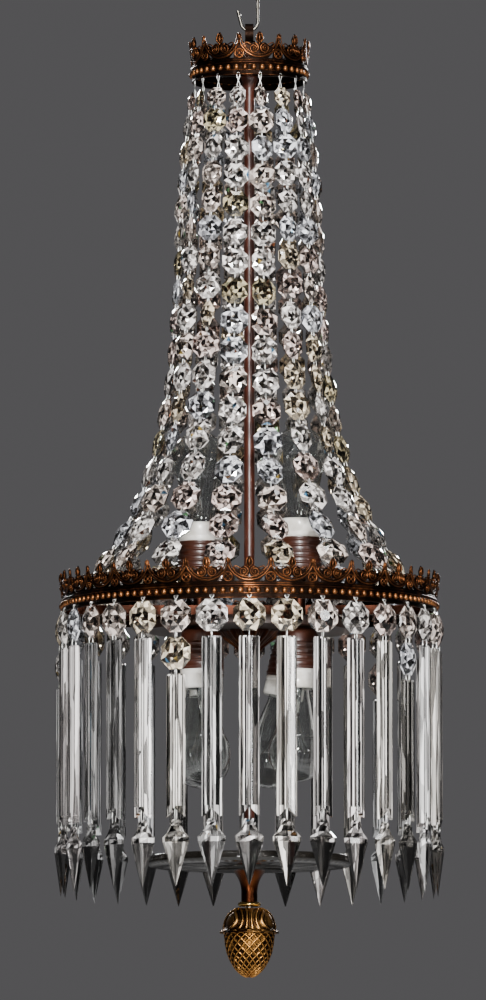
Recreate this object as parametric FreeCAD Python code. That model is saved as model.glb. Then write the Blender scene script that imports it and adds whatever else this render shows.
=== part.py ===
"""A crystal chandelier: a stamped bronze crown, strands of cut octagons that flare out like a bell
to a wide stamped gallery ring, a curtain of prism drops, six lamps, a glass dish and an acorn finial.

Millimetres, +Z up. The origin is the centre of the hanger's top eye, so every level is negative.
A level or radius that another piece also needs is worked out once, here at the top.
"""
import FreeCAD
import Part
import math
import os

Vector = FreeCAD.Vector

# ---- fits between pieces -------------------------------------------------------------------
SEAT_GAP = 0.3            # between pieces of different bodies that rest on each other
ROD_FIT = 0.1             # radial room round the threaded rod
TUBE_FIT = 0.1            # radial room round the stem tube
RUNNING_FIT = 0.06        # radial room of a turning fit
PIN_GAP = 0.1             # from the end of a crystal pin to the crystal

# ---- hanger and its loop -------------------------------------------------------------------
WIRE_D = 3.0              # hanger wire
HANGER_R = 8.0            # centre line of the hanger's eye and of its hook bend
HOOK_DROP = 56.0          # eye centre to the lowest centre line of the hook bend
HOOK_TIP_RISE = 13.0      # straight end of the hook, beyond the bend
HOOK_TIP_LEAN = 14.0      # degrees that this end opens outwards
EYE_TURN = 255.0          # degrees of the closed eye
LOOP_WIDTH = 8.0          # cast loop, across its strap
LOOP_THICK = 3.0
LOOP_OUTER_R = 10.0
LOOP_BOSS_R = 6.5
LOOP_BOSS_H = 9.0

# ---- stem ----------------------------------------------------------------------------------
ROD_R = 3.0
TUBE_R = 5.0
TUBE_WALL = 1.6
COLLAR_R = 8.0            # cone under the crown's spider
COLLAR_H = 11.0

# ---- stamped galleries (crown and main ring share one pattern) -----------------------------
CROWN_DROP = 106.5        # eye centre to the crown's lower edge
CROWN_R = 54.5            # outside of the crown's lower rail
CROWN_H = 41.0            # lower edge to bud tips
CROWN_REPEATS = 9
CROWN_FLATS = 27          # flats that the rolled strip is drawn with
MAIN_DROP = 615.0         # eye centre to the main ring's lower edge
MAIN_R = 177.0
MAIN_H = 39.0
MAIN_REPEATS = 28
MAIN_FLATS = 56
STRIP_T = 0.8             # sheet thickness
HOOK_RAIL_H = 4.8         # plain lower rail, with the hook holes
BEAD_CHANNEL_H = 5.0      # channel that holds the bead row
PLAIN_RAIL_H = 4.4        # moulding above the beads
CHANNEL_IN = 0.4          # how far the channel lies behind the lower rail
MOULDING_OUT = 0.4        # how far the moulding stands out
STRIP_FLARE = 1.8         # outward lean of the strip at the bud tips
HOOK_HOLE = 3.2           # square punched hole in the lower rail

# ---- hoops that stiffen the galleries ------------------------------------------------------
HOOP_T = 2.8
HOOP_H = 8.0
HOOP_RISE = 6.0           # lower edge of a gallery to its hoop
SPOKES = 4
CROWN_SPOKE_W = 5.0
CROWN_SPOKE_H = 4.0
CROWN_HUB_R = 9.5
MAIN_SPOKE_W = 8.0
MAIN_SPOKE_H = 6.0
MAIN_HUB_R = 13.0

# ---- strands of octagons -------------------------------------------------------------------
STRANDS = 16
STRAND_CRYSTALS = 18
TOP_CRYSTAL = 18.5        # across flats, first crystal
SECOND_CRYSTAL = 22.8     # then they grow evenly
LAST_CRYSTAL = 29.0
CRYSTAL_DEPTH = 0.19      # half depth over width
TOP_PIN_L = 14.0          # long pin from the crown to the first crystal
PIN_W = 2.2               # widest spread of a folded pin
SHOULDER = 18.0           # the bell's shoulder: radius gained below the crown
SHOULDER_FADE = 0.2       # share of the bell's height in which the shoulder forms
FLARE_POWER = 4.9         # how late and how sharply the bell flares

# ---- prism drops ---------------------------------------------------------------------------
DROPS = 32
PAIRED_DROPS = (5, 12, 24, 30)   # places that carry two octagons over a shorter prism
HOOK_WIRE = 0.9
HOOK_GAP = 0.5            # from the hook's upright wire to the rail
DROP_PIN_L = 3.1          # upright wire below the hole
DROP_OCTAGON = 30.0
DROP_OCTAGON_HALF_T = 5.5
DROP_LINK = 4.6           # folded pin between octagon and prism
PRISM_L = 167.0
PRISM_W = 19.0
PRISM_T = 9.0
PRISM_FLAT = 11.0         # width of the prism's front flat
PRISM_NOTCH = 8.0         # swallow-tail cut at its foot
SPEAR_LINK = 2.4
SPEAR_L = 62.0
SPEAR_W = 26.5
SPEAR_T = 12.0
SPEAR_HEAD_W = 9.5        # at its top
SPEAR_NECK_W = 12.0
SPEAR_NECK_AT = 6.0       # below the spear's top
SPEAR_THROAT_W = 17.0     # where the neck opens into the shoulder
SPEAR_THROAT_AT = 11.5
SPEAR_SHOULDER_AT = 16.5
SPEAR_GIRDLE_H = 4.5      # upright edge of the shoulder

# ---- lamp plate, lampholders and lamps -----------------------------------------------------
PLATE_DROP = 629.0        # eye centre to the top of the lamp plate
PLATE_R = 98.0
PLATE_T = 2.0
PLATE_RIM_H = 6.0
HUB_BOSS_R = 33.0
HUB_BOSS_FOOT_R = 11.0
HUB_BOSS_H = 19.0
HUB_LEAVES = 8
DOWN_LAMP_R = 64.0        # circle of the lamps that point down
DOWN_LAMPS = (45.0, 135.0, 225.0, 315.0)
UP_LAMP_R = 51.0          # circle of the lamps that point up
UP_LAMPS = (337.5, 157.5)
LEANING_LAMP = 45.0       # this lamp has slipped and leans towards -X
LEAN = 13.0
RISER_H = 45.0            # tube that carries an upward lamp
RISER_R = 6.0
RISER_FOOT_R = 11.0
RISER_FOOT_H = 2.5
NIPPLE_R = 3.0            # threaded nipple that joins a lampholder to the plate or riser
NIPPLE_L = 8.0            # in the lampholder's cap
NIPPLE_NUT_R = 6.0
NIPPLE_NUT_H = 3.0
HOLDER_CAP_H = 13.0
HOLDER_CAP_R = 11.0
SLEEVE_R = 20.5
SLEEVE_H = 27.0
SLEEVE_WALL = 1.5
SLEEVE_RIBS = 5
RIB_OUT = 0.9
PORCELAIN_R = 20.0
PORCELAIN_H = 18.0
PORCELAIN_BORE = 14.4
BULB_BASE_R = 13.2
BULB_BASE_L = 25.0
BULB_NECK_R = 14.0
BULB_R = 27.5
BULB_REACH = 60.0         # from the porcelain's mouth to the bulb's centre
BULB_WALL = 0.8

# ---- dish, neck and finial -----------------------------------------------------------------
DISH_DROP = 855.0         # eye centre to the dish's underside
DISH_R = 97.0
DISH_H = 11.0
DISH_FLOOR_T = 4.5
DISH_WALL = 4.0
DISH_FOOT_R = 34.0
DISH_FOOT_H = 3.0
NECK_H = 29.0
NECK_TOP_R = 15.3
NECK_R = 7.6
RING_H = 4.4
RING_R = 10.9
CUP_H = 24.0
CUP_TOP_R = 11.5
CUP_R = 25.5
CUP_LIP_R = 28.5
NUT_R = 24.0
NUT_H = 42.5
NUT_TAPER = ((1.0, 0.0), (0.89, 0.42), (0.78, 0.59), (0.60, 0.77), (0.42, 0.89), (0.2, 0.97), (0.0, 1.0))
FINIAL_THREAD_L = 16.0

# ---- levels and radii that several pieces share --------------------------------------------
hook_z = -HOOK_DROP
bend_inner_r = HANGER_R - WIRE_D / 2
bend_rise = bend_inner_r - math.sqrt(bend_inner_r ** 2 - (LOOP_WIDTH / 2) ** 2)
loop_inner_r = LOOP_OUTER_R - LOOP_THICK
loop_z = hook_z + WIRE_D / 2 + bend_rise + SEAT_GAP - loop_inner_r
stem_top_z = loop_z - LOOP_OUTER_R - LOOP_BOSS_H
crown_z = -CROWN_DROP
main_z = -MAIN_DROP
plate_z = -PLATE_DROP
plate_under_z = plate_z - PLATE_T
dish_z = -DISH_DROP
foot_z = dish_z - DISH_FOOT_H
neck_foot_z = foot_z - NECK_H
ring_foot_z = neck_foot_z - RING_H
acorn_z = ring_foot_z - SEAT_GAP
rail_top = HOOK_RAIL_H + BEAD_CHANNEL_H + PLAIN_RAIL_H
band_t = STRIP_T + CHANNEL_IN          # thickness of the strip's lower rail
hole_z = HOOK_RAIL_H / 2               # hook holes, above a gallery's lower edge
tube_bore_r = TUBE_R - TUBE_WALL


# ---- ways of making shapes -----------------------------------------------------------------
def solid_of(points, faces):
    """A solid with flat faces, each a loop of indices into points."""
    made = []
    for face in faces:
        loop = [points[i] for i in face]
        made.append(Part.Face(Part.makePolygon(loop + loop[:1])))
    shell = Part.Shell(made)
    shell.sewShape()
    solid = Part.Solid(shell)
    if solid.Volume < 0:
        solid.reverse()
    return solid


def at_angle(radius, degrees, z):
    """The point at that radius, angle and level."""
    a = math.radians(degrees)
    return Vector(radius * math.cos(a), radius * math.sin(a), z)


def round_z(shape, degrees):
    """A turned copy of a shape."""
    copy = shape.copy()
    copy.rotate(Vector(0, 0, 0), Vector(0, 0, 1), degrees)
    return copy


def turned(profile):
    """A profile of (r, z) points spun round Z. An entry (rm, zm, r, z) is an arc by way of (rm, zm)."""
    edges = []
    start = Vector(profile[0][0], 0, profile[0][1])
    here = start
    for entry in profile[1:] + [profile[0]]:
        there = Vector(entry[-2], 0, entry[-1])
        if len(entry) == 4:
            edges.append(Part.Arc(here, Vector(entry[0], 0, entry[1]), there).toShape())
        elif (there - here).Length > 1e-7:
            edges.append(Part.makeLine(here, there))
        here = there
    face = Part.Face(Part.Wire(edges))
    return face.revolve(Vector(0, 0, 0), Vector(0, 0, 1), 360)


def ring_of_flats(profile, flats):
    """A closed profile of (r, z) points carried round Z in flat steps."""
    count = len(profile)
    step = 360.0 / flats
    points = [at_angle(r, k * step, z) for k in range(flats) for r, z in profile]
    faces = []
    for k in range(flats):
        here = k * count
        after = (k + 1) % flats * count
        for i in range(count):
            j = (i + 1) % count
            faces.append((here + i, after + i, after + j, here + j))
    return solid_of(points, faces)


def prism(points, direction):
    """A flat polygon pushed along a direction."""
    return Part.Face(Part.makePolygon(points + points[:1])).extrude(direction)


def link(p, q, across, width):
    """A folded wire pin: a slim wedge, broad one way at p and the other way at q."""
    along = (q - p).normalize()
    other = along.cross(across)
    half = width / 2
    points = [p + across * half, p - across * half, q + other * half, q - other * half]
    return solid_of(points, [(0, 1, 2), (1, 0, 3), (2, 3, 0), (3, 2, 1)])


def octagon(centre, across, up, width, half_depth):
    """A cut octagon: eight flat sides round its girdle and a point on each face."""
    out = across.cross(up)
    corner = width / 2 / math.cos(math.pi / 8)
    points = []
    for k in range(8):
        a = math.radians(22.5 + 45 * k)
        points.append(centre + across * (corner * math.cos(a)) + up * (corner * math.sin(a)))
    points += [centre + out * half_depth, centre - out * half_depth]
    front = [(k, (k + 1) % 8, 8) for k in range(8)]
    back = [((k + 1) % 8, k, 9) for k in range(8)]
    return solid_of(points, front + back)


def stack(sections):
    """A faceted solid through polygons of equal count; a section of one point closes it."""
    points = [p for section in sections for p in section]
    starts = [sum(len(s) for s in sections[:k]) for k in range(len(sections))]
    faces = []
    for k in range(len(sections) - 1):
        a, b = sections[k], sections[k + 1]
        n = max(len(a), len(b))
        for i in range(n):
            j = (i + 1) % n
            if len(b) == 1:
                faces.append((starts[k] + i, starts[k] + j, starts[k + 1]))
            else:
                faces.append((starts[k] + i, starts[k] + j, starts[k + 1] + j, starts[k + 1] + i))
    for k in (0, -1):
        if len(sections[k]) > 2:
            faces.append(tuple(starts[k] + i for i in range(len(sections[k]))))
    return solid_of(points, faces)


# ---- hanger and loop -----------------------------------------------------------------------
def hanger_hook():
    """One bent wire: closed eye, straight leg, hook bend and a short opened end."""
    bend_z = hook_z + HANGER_R
    eye = [Vector(HANGER_R * math.cos(a), 0, HANGER_R * math.sin(a))
           for a in (math.radians(EYE_TURN * k / 2) for k in (2, 1, 0))]
    lean = math.radians(HOOK_TIP_LEAN)
    leave = Vector(-HANGER_R * math.cos(lean), 0, bend_z - HANGER_R * math.sin(lean))
    tip = leave + Vector(-math.sin(lean), 0, math.cos(lean)) * HOOK_TIP_RISE
    edges = [Part.Arc(*eye).toShape(),
             Part.makeLine(Vector(HANGER_R, 0, 0), Vector(HANGER_R, 0, bend_z)),
             Part.Arc(Vector(HANGER_R, 0, bend_z), Vector(0, 0, bend_z - HANGER_R), leave).toShape(),
             Part.makeLine(leave, tip)]
    path = Part.Wire(edges)
    start_direction = edges[0].tangentAt(edges[0].FirstParameter)
    section = Part.Wire(Part.makeCircle(WIRE_D / 2, eye[0], start_direction))
    return path.makePipeShell([section], True, True)


def top_loop():
    """A cast strap loop on a round boss that is threaded on the rod."""
    half = Vector(LOOP_WIDTH / 2, 0, 0)
    centre = Vector(0, 0, loop_z)
    along = Vector(1, 0, 0)
    strap = Part.makeCylinder(LOOP_OUTER_R, LOOP_WIDTH, centre - half, along)
    boss = Part.makeCylinder(LOOP_BOSS_R, LOOP_BOSS_H + LOOP_THICK, Vector(0, 0, stem_top_z))
    hole = Part.makeCylinder(loop_inner_r, 4 * LOOP_WIDTH, centre - half * 4, along)
    bore = Part.makeCylinder(ROD_R + ROD_FIT, LOOP_OUTER_R + LOOP_BOSS_H, Vector(0, 0, stem_top_z))
    return strap.fuse(boss).cut(hole).cut(bore).removeSplitter()


# ---- galleries -----------------------------------------------------------------------------
def gallery_blank(radius, height, z, flats):
    """The rolled strip before piercing: hook rail, bead channel, moulding and flared wall."""
    channel_r = radius - CHANNEL_IN
    moulding_r = radius + MOULDING_OUT
    inner_r = radius - band_t
    top_r = radius + STRIP_FLARE
    channel_top = HOOK_RAIL_H + BEAD_CHANNEL_H
    profile = [(radius, 0), (radius, HOOK_RAIL_H), (channel_r, HOOK_RAIL_H), (channel_r, channel_top),
               (moulding_r, channel_top), (moulding_r, rail_top), (channel_r, rail_top), (top_r, height),
               (top_r - STRIP_T, height), (inner_r, rail_top), (inner_r, 0)]
    return ring_of_flats([(r, z + up) for r, up in profile], flats)


def piercing(outline, hub, radius, z, apex_z):
    """A cutter that fans out from the axis through an outline of (arc, height) points on the strip."""
    reach = radius * 1.2
    spread = reach / radius

    def on_strip(u, v):
        level = apex_z + (z + v - apex_z) * spread
        return at_angle(reach, math.degrees(u / radius), level)

    points = [on_strip(u, v) for u, v in outline] + [on_strip(*hub), Vector(0, 0, apex_z)]
    n = len(outline)
    cap = [(i, (i + 1) % n, n) for i in range(n)]
    sides = [((i + 1) % n, i, n + 1) for i in range(n)]
    return solid_of(points, cap + sides)


def gallery(radius, height, z, flats, repeats):
    """The pierced strip. A bud stands over each swag and a peak where two swags meet. The swag holds
    twin rosettes and a leaf curl at each end, and a quatrefoil sits between two swags."""
    pitch = 2 * math.pi * radius / repeats
    wall = height - rail_top
    share_of_strip = ((0.085, 0.80), (0.055, 0.60), (0.14, 0.62), (0.27, 0.50), (0.35, 0.59), (0.41, 0.49),
                      (0.46, 0.64))        # from the bud over a rosette and a curl to the swag's end
    half = [(0.4, height)] + [(pitch * u, rail_top + wall * v) for u, v in share_of_strip]
    half.append((0.5 * pitch - 0.7, rail_top + 0.92 * wall))
    sky = height + 20
    mirrored = [(pitch - u, v) for u, v in reversed(half)]
    open_top = [(0.4, sky)] + half + mirrored + [(pitch - 0.4, sky)]
    apex_z = z + rail_top + wall / 2
    cutters = [piercing(open_top, (pitch / 2, sky - 2), radius, z, apex_z)]
    foot = rail_top + 0.07 * wall
    beside = [(0.24 * pitch, foot), (0.35 * pitch, foot), (0.365 * pitch, rail_top + 0.28 * wall)]
    under = [(-0.07 * pitch, rail_top + 0.17 * wall), (0.07 * pitch, rail_top + 0.17 * wall),
             (0, rail_top + 0.32 * wall)]
    for hole in (beside, [(pitch - u, v) for u, v in beside], under):
        middle = (sum(u for u, v in hole) / 3, sum(v for u, v in hole) / 3)
        cutters.append(piercing(hole, middle, radius, z, apex_z))
    turns = [360.0 * k / repeats for k in range(repeats)]
    return gallery_blank(radius, height, z, flats).cut([round_z(c, turn) for turn in turns for c in cutters])


def hook_holes(radius, z, count, turn):
    """Square punches through the lower rail."""
    half = HOOK_HOLE / 2
    punches = []
    for k in range(count):
        corners = [Vector(radius - 4 * band_t, y, z + hole_z + v)
                   for y, v in ((-half, -half), (half, -half), (half, half), (-half, half))]
        punches.append(round_z(prism(corners, Vector(8 * band_t, 0, 0)), turn + 360.0 * k / count))
    return punches


def strand_turn(k):
    """Strands hang either side of the front centre line."""
    return -90.0 + (k + 0.5) * 360.0 / STRANDS


def drop_turn(k):
    """Drop 0 hangs at the front centre."""
    return -90.0 + k * 360.0 / DROPS


def crown_gallery():
    band = gallery(CROWN_R, CROWN_H, crown_z, CROWN_FLATS, CROWN_REPEATS)
    return band.cut(hook_holes(CROWN_R, crown_z, STRANDS, strand_turn(0)))


def main_gallery():
    band = gallery(MAIN_R, MAIN_H, main_z, MAIN_FLATS, MAIN_REPEATS)
    return band.cut(hook_holes(MAIN_R, main_z, DROPS, drop_turn(0)))


def hoop(radius, z, flats):
    """A flat hoop that lies face to face inside a gallery's strip."""
    outer_r = radius - band_t
    profile = [(outer_r - HOOP_T, z), (outer_r, z), (outer_r, z + HOOP_H), (outer_r - HOOP_T, z + HOOP_H)]
    return ring_of_flats(profile, flats)


def spokes(reach, z, width, height):
    """Flat bars from the stem out to a hoop."""
    half = width / 2
    corners = [Vector(0, -half, z), Vector(reach, -half, z), Vector(reach, half, z), Vector(0, half, z)]
    bar = prism(corners, Vector(0, 0, height))
    return [round_z(bar, 360.0 * k / SPOKES) for k in range(SPOKES)]


def top_hoop():
    """The crown's hoop with its four-armed spider round the stem tube."""
    z = crown_z + HOOP_RISE
    arms = spokes(CROWN_R - band_t - HOOP_T / 2, z, CROWN_SPOKE_W, CROWN_SPOKE_H)
    hub = Part.makeCylinder(CROWN_HUB_R, CROWN_SPOKE_H, Vector(0, 0, z))
    bore = Part.makeCylinder(TUBE_R + TUBE_FIT, CROWN_SPOKE_H, Vector(0, 0, z))
    return hoop(CROWN_R, z, CROWN_FLATS).fuse(arms + [hub]).cut(bore).removeSplitter()


def main_hoop():
    """The main ring's hoop, with four bars under it that meet at a hub standing on the lamp plate."""
    z = main_z + HOOP_RISE
    low = z - MAIN_SPOKE_H
    reach = (MAIN_R - band_t - HOOP_T) * math.cos(math.pi / MAIN_FLATS)
    arms = spokes(reach + HOOP_T * 0.3, low, MAIN_SPOKE_W, MAIN_SPOKE_H + HOOP_T)
    hub = Part.makeCylinder(MAIN_HUB_R, z + HOOP_T - plate_z, Vector(0, 0, plate_z))
    bore = Part.makeCylinder(TUBE_R + TUBE_FIT, z + HOOP_T - plate_z, Vector(0, 0, plate_z))
    return hoop(MAIN_R, z, MAIN_FLATS).fuse(arms + [hub]).cut(bore).removeSplitter()


# ---- stem ----------------------------------------------------------------------------------
def tube(top, bottom):
    """A length of stem tube."""
    return turned([(tube_bore_r, bottom), (TUBE_R, bottom), (TUBE_R, top), (tube_bore_r, top)])


def stem_tube():
    """Upper tube down to the lamp plate, lower tube from the hub boss to the dish, and a collar."""
    collar_top = crown_z + HOOP_RISE
    bore_r = TUBE_R + TUBE_FIT
    collar = turned([(bore_r, collar_top), (bore_r, collar_top - COLLAR_H), (bore_r + 0.6, collar_top - COLLAR_H),
                     (COLLAR_R, collar_top - 1.5), (COLLAR_R, collar_top)])
    boss_foot_z = plate_under_z - HUB_BOSS_H
    return [tube(stem_top_z, plate_z), tube(boss_foot_z, dish_z + DISH_FLOOR_T), collar]


def stem_rod():
    """The threaded rod that holds everything together from the loop to the finial."""
    top = loop_z - loop_inner_r
    return Part.makeCylinder(ROD_R, top - acorn_z + FINIAL_THREAD_L, Vector(0, 0, acorn_z - FINIAL_THREAD_L))


# ---- strands -------------------------------------------------------------------------------
crown_hang_r = CROWN_R - band_t - HOOK_GAP - HOOK_WIRE / 2
main_hang_r = (MAIN_R - band_t - HOOP_T) * math.cos(math.pi / MAIN_FLATS) - PIN_W / 2
strand_top_z = crown_z + hole_z
strand_foot_z = main_z + HOOP_RISE + HOOP_H / 2


def bell(s):
    """Radius and level of the bell's line at a share s of its height."""
    shoulder = SHOULDER * (1 - math.exp(-s / SHOULDER_FADE))
    flare = main_hang_r - crown_hang_r - SHOULDER * (1 - math.exp(-1 / SHOULDER_FADE))
    radius = crown_hang_r + shoulder + flare * s ** FLARE_POWER
    return Vector(radius, 0, strand_top_z + (strand_foot_z - strand_top_z) * s)


BELL_STEPS = 600
bell_points = [bell(k / BELL_STEPS) for k in range(BELL_STEPS + 1)]
bell_lengths = [0.0]
for before, after in zip(bell_points, bell_points[1:]):
    bell_lengths.append(bell_lengths[-1] + (after - before).Length)


def along_bell(length):
    """The point that lies that far down the bell's line."""
    k = next(i for i in range(1, BELL_STEPS + 1) if bell_lengths[i] >= min(length, bell_lengths[-1]))
    share = (length - bell_lengths[k - 1]) / (bell_lengths[k] - bell_lengths[k - 1])
    return bell_points[k - 1] + (bell_points[k] - bell_points[k - 1]) * share


def crystal_widths():
    """Widths from the crown down: one small crystal, then an even growth."""
    steps = STRAND_CRYSTALS - 2
    return [TOP_CRYSTAL] + [SECOND_CRYSTAL + (LAST_CRYSTAL - SECOND_CRYSTAL) * k / steps
                            for k in range(steps + 1)]


def hook_pin(length, side):
    """A bent wire hook: its stub goes through the rail's hole on the given side, its leg hangs."""
    half = HOOK_WIRE / 2
    reach = half + HOOK_GAP + band_t + 0.6
    outline = [(half, half), (half, -length), (-half, -length), (-half, -half), (-reach, -half), (-reach, half)]
    return prism([Vector(side * y, -half, z) for y, z in outline], Vector(0, HOOK_WIRE, 0))


def strand():
    """One strand in the XZ plane: its crystals and its pins, from the crown's rail to the main hoop."""
    across = Vector(0, 1, 0)
    widths = crystal_widths()
    spare = bell_lengths[-1] - TOP_PIN_L - sum(widths)
    pin_l = spare / STRAND_CRYSTALS
    hook = hook_pin(TOP_PIN_L - PIN_GAP, -1)
    hook.translate(Vector(crown_hang_r, 0, strand_top_z))
    crystals, pins = [], [hook]
    place = TOP_PIN_L
    for width in widths:
        top = along_bell(place)
        foot = along_bell(place + width)
        up = (top - foot).normalize()
        crystals.append(octagon((top + foot) * 0.5, across, up, width, width * CRYSTAL_DEPTH))
        crystal_foot = (top + foot) * 0.5 - up * (width / 2)
        place += width + pin_l
        after = along_bell(place)
        pin_way = (after - crystal_foot).normalize()
        pins.append(link(crystal_foot + pin_way * PIN_GAP, after - pin_way * PIN_GAP, across, PIN_W))
    return crystals, pins


def strands():
    """All strands, as four groups of crystals and one group of pins."""
    crystals, pins = strand()
    per_side = STRANDS // 4
    sides = []
    for side in range(4):
        turns = [strand_turn(side * per_side + k - per_side // 2) for k in range(per_side)]
        sides.append([round_z(c, turn) for turn in turns for c in crystals])
    all_pins = [round_z(p, strand_turn(k)) for k in range(STRANDS) for p in pins]
    return sides, all_pins


# ---- prism drops ---------------------------------------------------------------------------
def prism_bar(top, length):
    """The long flat prism: bevelled edges and a swallow-tail foot."""
    half_w, half_t, flat = PRISM_W / 2, PRISM_T / 2, PRISM_FLAT / 2
    corner_z = -1.5
    section = [Vector(0, -half_w, 0), Vector(-half_t, -flat, 0), Vector(-half_t, flat, 0),
               Vector(0, half_w, 0), Vector(half_t, flat, 0), Vector(half_t, -flat, 0)]
    bar = prism([p + Vector(0, 0, top - length) for p in section], Vector(0, 0, length))
    notch = [Vector(-PRISM_T, 0, top - length + PRISM_NOTCH),
             Vector(-PRISM_T, PRISM_FLAT / 2, top - length + corner_z),
             Vector(-PRISM_T, -PRISM_FLAT / 2, top - length + corner_z)]
    return bar.cut(prism(notch, Vector(2 * PRISM_T, 0, 0)))


def spear(top):
    """The pointed pendant: a neck that opens into a wide faceted shoulder, and a long taper."""
    def section(width, z):
        half_t = SPEAR_T / 2 * width / SPEAR_W
        return [Vector(half_t * x, width / 2 * y, top - z)
                for x, y in ((0, -1), (-1, -0.45), (-1, 0.45), (0, 1), (1, 0.45), (1, -0.45))]
    return stack([section(SPEAR_HEAD_W, 0), section(SPEAR_NECK_W, SPEAR_NECK_AT),
                  section(SPEAR_THROAT_W, SPEAR_THROAT_AT), section(SPEAR_W, SPEAR_SHOULDER_AT),
                  section(SPEAR_W, SPEAR_SHOULDER_AT + SPEAR_GIRDLE_H), [Vector(0, 0, top - SPEAR_L)]])


drop_hang_r = MAIN_R + HOOK_GAP + HOOK_WIRE / 2
drop_hinge_z = main_z + hole_z


def drop(paired):
    """One drop in the XZ plane, hung at the origin: octagons, prism and spear on their pins."""
    across, up = Vector(0, 1, 0), Vector(0, 0, 1)
    parts = [hook_pin(DROP_PIN_L, 1)]
    place = -DROP_PIN_L - PIN_GAP
    prism_length = PRISM_L
    for k in range(2 if paired else 1):
        centre = Vector(0, 0, place - DROP_OCTAGON / 2)
        parts.append(octagon(centre, across, up, DROP_OCTAGON, DROP_OCTAGON_HALF_T))
        place -= DROP_OCTAGON
        parts.append(link(Vector(0, 0, place - PIN_GAP), Vector(0, 0, place - DROP_LINK + PIN_GAP), across, PIN_W))
        place -= DROP_LINK
        if k == 1:
            prism_length -= DROP_OCTAGON + DROP_LINK
    parts.append(prism_bar(place, prism_length))
    place -= prism_length
    pin_top = Vector(0, 0, place + PRISM_NOTCH - PIN_GAP)
    place -= SPEAR_LINK
    parts.append(link(pin_top, Vector(0, 0, place + PIN_GAP), across, PIN_W))
    parts.append(spear(place))
    return parts


def hung_drop(parts, k):
    """A drop's parts at its place round the main ring."""
    placed = []
    for part in parts:
        copy = part.copy()
        copy.translate(Vector(drop_hang_r, 0, drop_hinge_z))
        placed.append(round_z(copy, drop_turn(k)))
    return placed


# ---- hub, lamp plate and lamps -------------------------------------------------------------
def hub_boss():
    """The bronze boss under the plate, wrapped in a ring of raised leaves."""
    top, foot = plate_under_z, plate_under_z - HUB_BOSS_H
    bore_r = ROD_R + ROD_FIT
    mid = (HUB_BOSS_R + HUB_BOSS_FOOT_R) / 2
    body = turned([(bore_r, top), (bore_r, foot), (HUB_BOSS_FOOT_R, foot),
                   (mid + 3, foot + 0.35 * HUB_BOSS_H, HUB_BOSS_R, top)])
    leaves = []
    for k in range(HUB_LEAVES):
        root = Vector(HUB_BOSS_FOOT_R - 2, 0, foot + 2)
        tip = Vector(HUB_BOSS_R, 0, top - 0.5)
        side = 0.26 * HUB_BOSS_R
        middle = Vector(mid + 2, 0, foot + 0.62 * HUB_BOSS_H)
        ridge = Vector(mid + 4.5, 0, foot + 0.28 * HUB_BOSS_H)
        points = [root, middle + Vector(0, side, 0), tip, middle - Vector(0, side, 0), ridge,
                  Vector(mid - 4, 0, top - 1)]
        faces = [(0, 1, 4), (1, 2, 4), (2, 3, 4), (3, 0, 4), (1, 0, 5), (2, 1, 5), (3, 2, 5), (0, 3, 5)]
        leaves.append(round_z(solid_of(points, faces), 360.0 * (k + 0.5) / HUB_LEAVES))
    return body.fuse(leaves)


def lamp_place(degrees, upward):
    """Where a lamp's axis meets the plate's middle plane."""
    radius = UP_LAMP_R if upward else DOWN_LAMP_R
    return at_angle(radius, degrees, 0)


lamps = [(a, False) for a in DOWN_LAMPS] + [(a, True) for a in UP_LAMPS]


def lamp_plate():
    """A pressed disc with a turned-up rim, holed for the rod and for the lamps' threaded nipples."""
    rod_r = ROD_R + ROD_FIT
    disc = turned([(rod_r, plate_under_z), (PLATE_R, plate_under_z), (PLATE_R, plate_z + PLATE_RIM_H),
                   (PLATE_R - PLATE_T, plate_z + PLATE_RIM_H), (PLATE_R - PLATE_T, plate_z), (rod_r, plate_z)])
    holes = []
    for degrees, upward in lamps:
        at = lamp_place(degrees, upward) + Vector(0, 0, plate_under_z)
        room = 1.5 if degrees == LEANING_LAMP else ROD_FIT
        holes.append(Part.makeCylinder(NIPPLE_R + room, PLATE_T, at))
    return disc.cut(holes)


def nipple(lift):
    """The threaded nipple of a downward lamp, drawn pointing up: its nut clamps the plate."""
    under = -PLATE_T - lift
    return turned([(0, NIPPLE_L), (0, under - NIPPLE_NUT_H), (NIPPLE_NUT_R, under - NIPPLE_NUT_H),
                   (NIPPLE_NUT_R, under), (NIPPLE_R, under), (NIPPLE_R, NIPPLE_L)])


def riser():
    """The footed tube of an upward lamp, its top at the origin."""
    foot = -RISER_H
    return turned([(0, foot - PLATE_T), (NIPPLE_R, foot - PLATE_T), (NIPPLE_R, foot), (RISER_FOOT_R, foot),
                   (RISER_FOOT_R, foot + RISER_FOOT_H - 1), (RISER_R + 1, foot + RISER_FOOT_H),
                   (RISER_R, foot + 2 * RISER_FOOT_H), (RISER_R, 0), (NIPPLE_R, 0), (NIPPLE_R, NIPPLE_L),
                   (0, NIPPLE_L)])


def lampholder():
    """Cap and ribbed sleeve of a lampholder, pointing up from the origin."""
    top = HOLDER_CAP_H + SLEEVE_H
    inner_r = SLEEVE_R - SLEEVE_WALL
    pitch = SLEEVE_H / SLEEVE_RIBS
    hole_r = NIPPLE_R + ROD_FIT
    wall = [(SLEEVE_R, HOLDER_CAP_H)]
    for k in range(SLEEVE_RIBS):
        base = HOLDER_CAP_H + k * pitch
        wall += [(SLEEVE_R + RIB_OUT, base + 0.35 * pitch), (SLEEVE_R, base + 0.7 * pitch)]
    return turned([(0, NIPPLE_L), (hole_r, NIPPLE_L), (hole_r, 0), (HOLDER_CAP_R, 0),
                   (HOLDER_CAP_R + 6.5, 3.5, SLEEVE_R, HOLDER_CAP_H)] + wall[1:]
                  + [(SLEEVE_R, top), (inner_r, top), (inner_r, bulb_seat), (0, bulb_seat)])


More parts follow.
